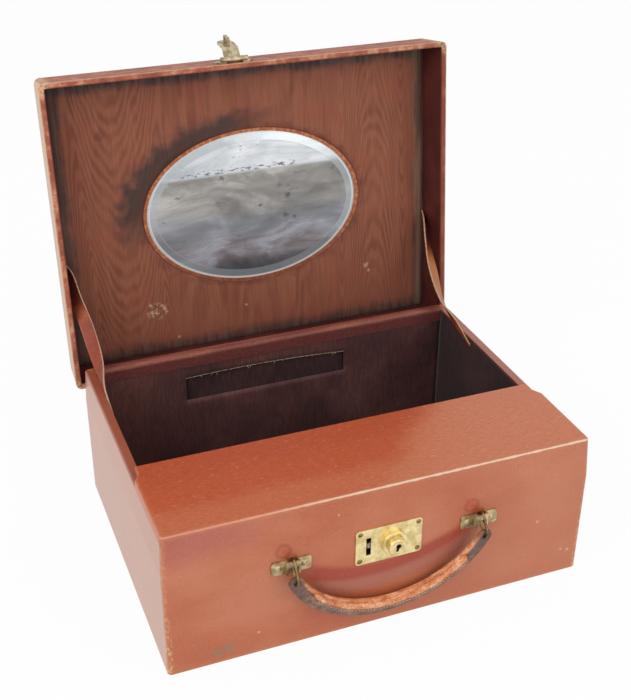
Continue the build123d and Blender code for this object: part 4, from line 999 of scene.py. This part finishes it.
def back_lining():
    """The back wall's silk with the pocket's mouth cut through it and frayed at its top."""
    draw = random.Random(5)
    height = waves(12)
    side_steps, mouth_steps = 18, 88
    width = POCKET_RIGHT - POCKET_LEFT
    xs = [-WELL_X + (POCKET_LEFT + WELL_X) * k / side_steps for k in range(side_steps)]
    xs += [POCKET_LEFT + width * k / mouth_steps for k in range(mouth_steps + 1)]
    xs += [POCKET_RIGHT + (WELL_X - POCKET_RIGHT) * (k + 1) / side_steps for k in range(side_steps)]
    bands = (12, 4, 5)  # steps below, across and above the mouth
    border = 12.0
    points = []
    for x in xs:
        fray = draw.uniform(-0.35, 0.25) if POCKET_LEFT < x < POCKET_RIGHT else 0.0
        ends = (WELL_FLOOR, POCKET_LOW, pocket_top(x) + fray, LINING_TOP)
        zs = [WELL_FLOOR]
        for steps, low, high in zip(bands, ends, ends[1:]):
            zs += [low + (high - low) * (k + 1) / steps for k in range(steps)]
        for z in zs:
            rim = min(WELL_X - abs(x), z - WELL_FLOOR, LINING_TOP - z, border) / border
            points.append((x, WELL_BACK - BACK_RIPPLE * rim * ripple_share(x, z, height), z))
    rows = len(xs)
    columns = sum(bands) + 1
    faces = []
    for row in range(rows - 1):
        in_mouth = side_steps <= row < side_steps + mouth_steps
        for column in range(columns - 1):
            if in_mouth and bands[0] <= column < bands[0] + bands[1]:
                continue
            start = row * columns + column
            faces.append((start, start + columns, start + columns + 1, start + 1))
    sheet = piece("back_silk", points, faces, well_silk("back"))
    thicken(sheet, SILK_THICK)
    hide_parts("back_lining")
    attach(sheet, "case")


def worn_pocket_edge():
    """The pale rubbed edge of the pocket's mouth, with threads pulled from it."""
    draw = random.Random(9)
    steps, sides = 110, 6
    thinnest, thickest = 0.2, 0.45
    points = []
    for k in range(steps + 1):
        x = POCKET_LEFT + (POCKET_RIGHT - POCKET_LEFT) * k / steps
        thick = draw.uniform(thinnest, thickest)
        for side in range(sides):
            angle = 2 * math.pi * side / sides
            y = WELL_BACK - 0.1 + thick * math.cos(angle)
            points.append((x, y, pocket_top(x) + thick * math.sin(angle)))
    faces = quads(steps + 1, sides, wrap=True)
    faces += [tuple(range(sides))[::-1], tuple(steps * sides + side for side in range(sides))]
    edge = piece("pocket_edge", points, faces, thread(176, 150, 124))
    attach(edge, "case")
    spots = [
        (draw.uniform(POCKET_LEFT + 4, POCKET_RIGHT - 4), draw.uniform(0.9, 2.6))
        for _ in range(POCKET_THREADS)
    ]
    threads = bmesh.new()
    for x, length in spots:
        lean = draw.uniform(-0.9, 0.9)
        start = Vector((x, WELL_BACK - 0.3, pocket_top(x)))
        middle = start + Vector((lean * length * 0.5, -0.5, -length * 0.45))
        end = start + Vector((lean * length, -0.2, -length))
        add_strand(threads, (start, middle, end), POCKET_THREAD)
    strands = bmesh_piece("pocket_threads", threads, thread(214, 196, 172))
    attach(strands, "case")


def add_strand(mesh, path, radius):
    """Adds a thin strand along a path of points, in millimetres."""
    sides = 4
    rings = []
    for point in path:
        ring = []
        for side in range(sides):
            turn = 2 * math.pi * side / sides
            corner = Vector((radius * math.cos(turn), radius * math.sin(turn), 0))
            ring.append(mesh.verts.new((point + corner) * MM))
        rings.append(ring)
    for first, second in zip(rings, rings[1:]):
        for side in range(sides):
            following = (side + 1) % sides
            mesh.faces.new((first[side], first[following], second[following], second[side]))
    mesh.faces.new(rings[0][::-1])
    mesh.faces.new(rings[-1])


def add_stitch(mesh, middle, along, length, radius):
    """Adds one plump stitch, in millimetres, lying along a direction."""
    turn = Vector(along).to_track_quat("Z", "X").to_matrix().to_4x4()
    size = Matrix.Diagonal((radius * MM, radius * MM, length / 2 * MM, 1.0))
    place = Matrix.Translation(Vector(middle) * MM) @ turn @ size
    bmesh.ops.create_icosphere(mesh, subdivisions=2, radius=1.0, matrix=place)


def bmesh_piece(name, mesh, material):
    """Turns a finished bmesh into an object."""
    data = bpy.data.meshes.new(name)
    mesh.to_mesh(data)
    mesh.free()
    for polygon in data.polygons:
        polygon.use_smooth = True
    data.materials.append(material)
    obj = bpy.data.objects.new(name, data)
    bpy.context.scene.collection.objects.link(obj)
    return obj


def lid_lining_turns(right, up, left, down):
    """Directions from the mirror's middle, of which four meet the lining's corners."""
    count = 144
    turns = [2 * math.pi * k / count - math.pi for k in range(count)]
    for x, y in ((right, up), (-left, up), (-left, -down), (right, -down)):
        corner = math.atan2(y, x)
        nearest = min(range(count), key=lambda k: abs(turns[k] - corner))
        turns[nearest] = corner
    return turns


def lid_lining_sheet(pad):
    """The padded silk on the lid's board, drawn down at its edges and round the mirror."""
    half_x, half_y = LID_FACE_HALF
    right, left = half_x - MIRROR_X, half_x + MIRROR_X
    up, down = half_y - MIRROR_Y, half_y + MIRROR_Y
    turns = lid_lining_turns(right, up, left, down)
    rings = 20
    shoulder = 5.0  # over about how far the silk swells from its edges
    height = waves(3)
    points = []
    for ring in range(rings):
        s = ring / (rings - 1)
        for turn in turns:
            along_x, along_y = math.cos(turn), math.sin(turn)
            inner = 1 / math.hypot(along_x / (MIRROR_HALF[0] + MIRROR_GAP),
                                   along_y / (MIRROR_HALF[1] + MIRROR_GAP))
            outer = min((right if along_x > 0 else left) / max(abs(along_x), 1e-9),
                        (up if along_y > 0 else down) / max(abs(along_y), 1e-9))
            away = inner + (outer - inner) * s
            x, y = MIRROR_X + away * along_x, MIRROR_Y + away * along_y
            from_edge = min(away - inner, half_x - abs(x), half_y - abs(y))
            swell = pad * (1 - math.exp(-max(from_edge, 0.0) / shoulder))
            swell *= 0.75 + 0.25 * height(x, y)
            points.append((x, y, LID_FACE_Z + 0.1 - swell))
    faces = quads(rings, len(turns), wrap=True)
    sheet = piece("lid_silk_lining", points, faces, lid_silk(), LID_TURN)
    sheet.data.flip_normals()
    thicken(sheet, LID_SILK_THICK)
    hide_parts("lid_lining")
    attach(sheet, "lid")


def spline_points(marks, steps):
    """Points of a smooth curve through marks, and the curve's direction at each."""
    padded = [marks[0] * 2 - marks[1], *marks, marks[-1] * 2 - marks[-2]]
    found = []
    for index in range(1, len(padded) - 2):
        a, b, c, d = padded[index - 1:index + 3]
        for k in range(steps):
            t = k / steps
            point = b * 2 + (c - a) * t + (a * 2 - b * 5 + c * 4 - d) * t * t
            point += (b * 3 - a - c * 3 + d) * t ** 3
            found.append(point * 0.5)
    found.append(marks[-1])
    ahead, behind = found[1:] + found[-1:], found[:1] + found[:-1]
    directions = [(after - before).normalized() for after, before in zip(ahead, behind)]
    return list(zip(found, directions))


def stay_strap(side, name, node):
    """A stay from the lid's wall down to a slit in the side lining, leaning inwards at its top."""
    steps = 14
    upper = spline_points([Vector(mark) for mark in STAY_UPPER], steps)
    lower = spline_points([Vector(mark) for mark in STAY_LOWER], steps)
    half, flat = STAY_THICK / 2, STAY_THICK / 2 - STAY_ROUNDING
    outline = ((STAY_ROUNDING, half), (0.0, flat), (0.0, -flat), (STAY_ROUNDING, -half))
    points = []
    for (top, along), (bottom, _) in zip(upper, lower):
        across = (bottom - top).normalized()
        out = across.cross(along).normalized()
        ring = [top + across * inset + out * away for inset, away in outline]
        ring += [bottom - across * inset + out * away for inset, away in reversed(outline)]
        points += [(side * point.x, point.y, point.z) for point in ring]
    count = 2 * len(outline)
    side_faces = (len(upper) - 1) * count
    faces = quads(len(upper), count, wrap=True)
    faces += [tuple(range(count))[::-1], tuple(side_faces + k for k in range(count))]
    strap = piece(name, points, faces, strap_leather(), smooth=False)
    strap.data.materials.append(strap_edge())
    broad_faces = (len(outline) - 1, count - 1)
    for index, polygon in enumerate(strap.data.polygons):
        if index % count not in broad_faces or index >= side_faces:
            polygon.material_index = 1
    mesh = bmesh.new()
    mesh.from_mesh(strap.data)
    bmesh.ops.recalc_face_normals(mesh, faces=mesh.faces)
    mesh.to_mesh(strap.data)
    mesh.free()
    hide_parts(node)
    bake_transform(strap)


def handle_point(turn, radius, out):
    """A place on the grip by its angle from straight down, its radius and its distance in front."""
    cosine, sine = math.cos(HANDLE_TILT), math.sin(HANDLE_TILT)
    rise = HANDLE_CENTRE - radius * math.cos(turn)
    across = Vector((radius * math.sin(turn), 0, 0))
    up, forward = Vector((0, -sine, cosine)), Vector((0, -cosine, -sine))
    return Vector(HANDLE_ORIGIN) + across + up * rise + forward * out


def handle_stitches(pitch, length, radius):
    """Rows of stitches along the grip's flange, in front and behind."""
    count = int(2 * STITCH_REACH * HANDLE_RADIUS / pitch)
    sewing = bmesh.new()
    for row_radius, out in STITCH_ROWS:
        for k in range(count):
            turn = -STITCH_REACH + 2 * STITCH_REACH * (k + 0.5) / count
            middle = handle_point(turn, row_radius, out)
            ahead = handle_point(turn + 0.01, row_radius, out) - middle
            outwards = handle_point(turn, row_radius + 1, out) - middle
            along = ahead.normalized() + outwards * STITCH_SLANT
            add_stitch(sewing, middle, along, length, radius)
    stitches = bmesh_piece("handle_stitches", sewing, thread(226, 200, 164))
    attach(stitches, "handle")


# --- Settings -------------------------------------------------------------------------------------
class DressingBoxSettings(bpy.types.PropertyGroup):
    stitch_pitch: bpy.props.FloatProperty(
        name="Stitch pitch", description="Distance from one stitch of the handle to the next",
        default=2.4 * MM, min=1.5 * MM, max=8 * MM, subtype="DISTANCE", unit="LENGTH")
    stitch_length: bpy.props.FloatProperty(
        name="Stitch length", description="Length of each stitch of the handle",
        default=1.5 * MM, min=1 * MM, max=6 * MM, subtype="DISTANCE", unit="LENGTH")
    stitch_radius: bpy.props.FloatProperty(
        name="Thread radius", description="Radius of the handle's sewing thread",
        default=0.3 * MM, min=0.1 * MM, max=1 * MM, subtype="DISTANCE", unit="LENGTH")
    lid_padding: bpy.props.FloatProperty(
        name="Lid padding", description="How far the lid's silk swells from its board",
        default=0.55 * MM, min=0.0, max=2 * MM, subtype="DISTANCE", unit="LENGTH")
    silk_ripple: bpy.props.FloatProperty(
        name="Silk ripple",
        description="How far the well's silk stands off its boards, except on the back wall",
        default=0.3 * MM, min=0.0, max=1 * MM, subtype="DISTANCE", unit="LENGTH")
    brass_colour: bpy.props.FloatVectorProperty(
        name="Lock brass", description="Colour of the clean brass of the lock",
        default=paint(243, 226, 172), size=4, min=0.0, max=1.0, subtype="COLOR")
    bracket_colour: bpy.props.FloatVectorProperty(
        name="Bracket brass", description="Colour of the duller brass of the handle's brackets",
        default=paint(210, 190, 148), size=4, min=0.0, max=1.0, subtype="COLOR")
    key_power: bpy.props.FloatProperty(
        name="Main light", description="Power of the large light at the left",
        default=11.0, min=0.0, unit="POWER")
    fill_power: bpy.props.FloatProperty(
        name="Fill light", description="Power of the softer light at the right",
        default=6.0, min=0.0, unit="POWER")
    sky_strength: bpy.props.FloatProperty(
        name="Surrounding light", description="Strength of the plain light from all round",
        default=0.62, min=0.0)


# --- Operators ------------------------------------------------------------------------------------
class DRESSBOX_OT_case(bpy.types.Operator):
    """Covers the case in its leather and shows its boards and cloth"""

    bl_idname = "dressbox.case"
    bl_label = "Cover the case"

    def execute(self, context):
        dress(case_leather("front"), "front_cover")
        dress(case_leather("side"), "left_cover", "right_cover")
        dress(case_leather("back"), "back_cover")
        dress(roll_leather(), "rear_binding")
        dress(pine(), "floor_board", "front_board", "back_board", "left_board", "right_board",
              "partition_board", "deck_board")
        dress(base_cloth(), "base_cloth")
        # The pocket's card and back take the darker silk, which is painted shade inside the pocket.
        dress(well_silk("pocket"), "pocket_card", "pocket_back")
        return {"FINISHED"}


class DRESSBOX_OT_lid(bpy.types.Operator):
    """Covers the lid in leather and lines its walls"""

    bl_idname = "dressbox.lid"
    bl_label = "Cover the lid"

    def execute(self, context):
        dress(lid_leather(), "lid_cover")
        dress(band_leather(), "lid_wall_band")
        dress(pine(), "lid_board", "lid_front_wall", "lid_back_wall", "lid_left_wall",
              "lid_right_wall")
        return {"FINISHED"}


class DRESSBOX_OT_well_lining(bpy.types.Operator):
    """Lines the well with silk and cuts the pocket's mouth"""

    bl_idname = "dressbox.well_lining"
    bl_label = "Line the well"

    def execute(self, context):
        ripple = context.scene.dressing_box.silk_ripple / MM
        boards = {
            "floor": ("floor_lining", (-WELL_X, WELL_X), (WELL_FRONT, WELL_BACK), "floor_board",
                      lambda u, v, rise: (u, v, WELL_FLOOR + rise)),
            "left": ("left_lining", (WELL_BACK, WELL_FRONT), (WELL_FLOOR, LINING_TOP), "left_board",
                     lambda u, v, rise: (-WELL_X + rise, u, v)),
            "right": ("right_lining", (WELL_FRONT, WELL_BACK), (WELL_FLOOR, LINING_TOP),
                      "right_board", lambda u, v, rise: (WELL_X - rise, u, v)),
            "partition": ("partition_lining", (WELL_X, -WELL_X), (WELL_FLOOR, LINING_TOP),
                          "partition_board", lambda u, v, rise: (u, WELL_FRONT + rise, v)),
        }
        looks = {"floor": "floor", "left": "side", "right": "side", "partition": "back"}
        for seed, (name, sizes) in enumerate(boards.items(), start=20):
            node, u_ends, v_ends, board, place = sizes
            sheet, size = flat_lining(
                f"{name}_silk", node, u_ends, v_ends, place, well_silk(looks[name]), seed, ripple
            )
        back_lining()
        worn_pocket_edge()
        return {"FINISHED"}


class DRESSBOX_OT_lid_lining(bpy.types.Operator):
    """Lines the lid with padded watered silk"""

    bl_idname = "dressbox.lid_lining"
    bl_label = "Line the lid"

    def execute(self, context):
        lid_lining_sheet(context.scene.dressing_box.lid_padding / MM)
        return {"FINISHED"}


class DRESSBOX_OT_mirror(bpy.types.Operator):
    """Silvers the mirror and finishes its bead"""

    bl_idname = "dressbox.mirror"
    bl_label = "Fit the mirror"

    def execute(self, context):
        dress(looking_glass(), "mirror_glass")
        dress(bead_leather(), "mirror_bead")
        dress(card_paper(), "mirror_card")
        return {"FINISHED"}


class DRESSBOX_OT_stays(bpy.types.Operator):
    """Makes the two stay straps"""

    bl_idname = "dressbox.stays"
    bl_label = "Fit the stays"

    def execute(self, context):
        for side, word in ((-1, "left"), (1, "right")):
            stay_strap(side, f"{word}_stay_strap", f"{word}_stay")
        return {"FINISHED"}


class DRESSBOX_OT_handle(bpy.types.Operator):
    """Finishes the grip and sews its flange"""

    bl_idname = "dressbox.handle"
    bl_label = "Sew the handle"

    def execute(self, context):
        settings = context.scene.dressing_box
        dress(handle_leather(), "handle_leather", "handle_core")
        sizes = (settings.stitch_pitch, settings.stitch_length, settings.stitch_radius)
        handle_stitches(*[size / MM for size in sizes])
        return {"FINISHED"}


class DRESSBOX_OT_metal(bpy.types.Operator):
    """Finishes the brass fittings, the hinge and the lock"""

    bl_idname = "dressbox.metal"
    bl_label = "Finish the metal"

    def execute(self, context):
        settings = context.scene.dressing_box
        plate = brass("lock_brass", tuple(settings.brass_colour), paint(212, 188, 130), 0.30)
        dress(plate, "lock_plate", "lock_button")
        dress(plug_brass(), "key_plug")
        screws = brass("screw_brass", paint(170, 148, 100), paint(110, 88, 54), 0.4)
        dress(screws, "lock_plate_screws")
        hasp = brass("hasp_brass", paint(202, 188, 156), paint(138, 122, 96), 0.34)
        dress(hasp, "hasp_base", "hasp_plate", "hasp_staple", "hasp_screws")
        fittings = brass("bracket_brass", tuple(settings.bracket_colour), paint(150, 128, 90), 0.36)
        dress(fittings, "left_bracket", "right_bracket", "bracket_rivets")
        links = brass("link_brass", paint(150, 124, 84), paint(96, 74, 50), 0.34)
        dress(links, "left_link", "right_link")
        hinge = brass("hinge_brass", paint(188, 158, 102), paint(128, 100, 62), 0.36)
        dress(hinge, "hinge_case_leaf", "hinge_lid_leaf", "hinge_pin", "hinge_case_screws",
              "hinge_lid_screws")
        dress(lock_steel(), "lock_case", "lock_bolt", "bolt_spring", "hasp_pin")
        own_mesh(NODES["bolt_spring"])
        return {"FINISHED"}


# --- Stage ----------------------------------------------------------------------------------------
def background_rays(tree):
    """1 for the rays that should see the plain white background, 0 for the others."""
    path = tree.nodes.new("ShaderNodeLightPath")
    total = path.outputs["Is Camera Ray"]
    for name in ("Is Glossy Ray", "Is Transmission Ray"):
        either = tree.nodes.new("ShaderNodeMath")
        either.operation = "MAXIMUM"
        tree.links.new(total, either.inputs[0])
        tree.links.new(path.outputs[name], either.inputs[1])
        total = either.outputs[0]
    return total


def floor_material():
    """White floor that keeps a faint shadow."""
    material = bpy.data.materials.new("studio_floor")
    material.use_nodes = True
    tree = material.node_tree
    tree.nodes.clear()
    diffuse = tree.nodes.new("ShaderNodeBsdfDiffuse")
    diffuse.inputs["Color"].default_value = paint(250, 250, 250)
    glow = tree.nodes.new("ShaderNodeEmission")
    share = tree.nodes.new("ShaderNodeMath")
    share.operation = "MULTIPLY"
    tree.links.new(background_rays(tree), share.inputs[0])
    share.inputs[1].default_value = FLOOR_GLOW
    mix = tree.nodes.new("ShaderNodeMixShader")
    tree.links.new(share.outputs[0], mix.inputs[0])
    tree.links.new(diffuse.outputs[0], mix.inputs[1])
    tree.links.new(glow.outputs[0], mix.inputs[2])
    output = tree.nodes.new("ShaderNodeOutputMaterial")
    tree.links.new(mix.outputs[0], output.inputs["Surface"])
    return material


def area_light(name, power, size, place, aim):
    """A soft square light."""
    data = bpy.data.lights.new(name, "AREA")
    data.energy = power
    data.size = size
    lamp = bpy.data.objects.new(name, data)
    bpy.context.scene.collection.objects.link(lamp)
    lamp.location = place
    lamp.rotation_euler = (Vector(aim) - Vector(place)).to_track_quat("-Z", "Y").to_euler()


def white_world(strength):
    """Plain soft light from all round, white to the camera and in reflections."""
    world = bpy.data.worlds.new("studio")
    bpy.context.scene.world = world
    world.use_nodes = True
    tree = world.node_tree
    tree.nodes.clear()
    soft = tree.nodes.new("ShaderNodeBackground")
    soft.inputs["Strength"].default_value = strength
    seen = tree.nodes.new("ShaderNodeBackground")
    for background in (soft, seen):
        background.inputs["Color"].default_value = (1.0, 1.0, 1.0, 1.0)
    mix = tree.nodes.new("ShaderNodeMixShader")
    tree.links.new(background_rays(tree), mix.inputs[0])
    tree.links.new(soft.outputs[0], mix.inputs[1])
    tree.links.new(seen.outputs[0], mix.inputs[2])
    output = tree.nodes.new("ShaderNodeOutputWorld")
    tree.links.new(mix.outputs[0], output.inputs["Surface"])


def studio_camera():
    """A camera a little above the box, turned to its left corner."""
    data = bpy.data.cameras.new("camera")
    data.sensor_width = 36.0
    data.lens = CAMERA_LENS
    data.clip_start = 0.01
    camera = bpy.data.objects.new("camera", data)
    bpy.context.scene.collection.objects.link(camera)
    back = CAMERA_ACROSS.cross(CAMERA_UP)
    turn = Matrix((CAMERA_ACROSS, CAMERA_UP, back)).transposed().to_4x4()
    camera.matrix_world = Matrix.Translation(CAMERA_PLACE) @ turn
    bpy.context.scene.camera = camera


class DRESSBOX_OT_stage(bpy.types.Operator):
    """Sets the pale floor, the soft lights and the camera"""

    bl_idname = "dressbox.stage"
    bl_label = "Set the stage"

    def execute(self, context):
        settings = context.scene.dressing_box
        reach = FLOOR_REACH / MM
        corners = [(-reach, -reach, 0), (reach, -reach, 0), (reach, reach, 0), (-reach, reach, 0)]
        floor = piece("studio_floor", corners, [(0, 1, 2, 3)], floor_material(), smooth=False)
        white_world(settings.sky_strength)
        area_light("main_light", settings.key_power, 1.1, (-1.25, -0.75, 1.15), (0, 0, 0.1))
        area_light("fill_light", settings.fill_power, 1.2, (0.95, -1.2, 0.9), (0, 0, 0.15))
        studio_camera()
        context.scene.view_settings.view_transform = "Standard"
        return {"FINISHED"}


OPERATORS = (
    DRESSBOX_OT_case, DRESSBOX_OT_lid, DRESSBOX_OT_well_lining, DRESSBOX_OT_lid_lining,
    DRESSBOX_OT_mirror,
    DRESSBOX_OT_stays, DRESSBOX_OT_handle, DRESSBOX_OT_metal, DRESSBOX_OT_stage,
)


class DRESSBOX_PT_panel(bpy.types.Panel):
    """Lists the settings and the steps"""

    bl_label = "Dressing box"
    bl_idname = "DRESSBOX_PT_panel"
    bl_space_type = "VIEW_3D"
    bl_region_type = "UI"
    bl_category = "Dressing box"

    def draw(self, context):
        settings = context.scene.dressing_box
        for name in DressingBoxSettings.__annotations__:
            self.layout.prop(settings, name)
        for operator in OPERATORS:
            self.layout.operator(operator.bl_idname)


CLASSES = (DressingBoxSettings, *OPERATORS, DRESSBOX_PT_panel)


def register():
    for item in CLASSES:
        bpy.utils.register_class(item)
    bpy.types.Scene.dressing_box = bpy.props.PointerProperty(type=DressingBoxSettings)


def unregister():
    del bpy.types.Scene.dressing_box
    for item in reversed(CLASSES):
        bpy.utils.unregister_class(item)


def main():
    register()
    bpy.ops.dressbox.case()
    bpy.ops.dressbox.lid()
    bpy.ops.dressbox.well_lining()
    bpy.ops.dressbox.lid_lining()
    bpy.ops.dressbox.mirror()
    bpy.ops.dressbox.stays()
    bpy.ops.dressbox.handle()
    bpy.ops.dressbox.metal()
    bpy.ops.dressbox.stage()


if __name__ == "__main__":
    main()
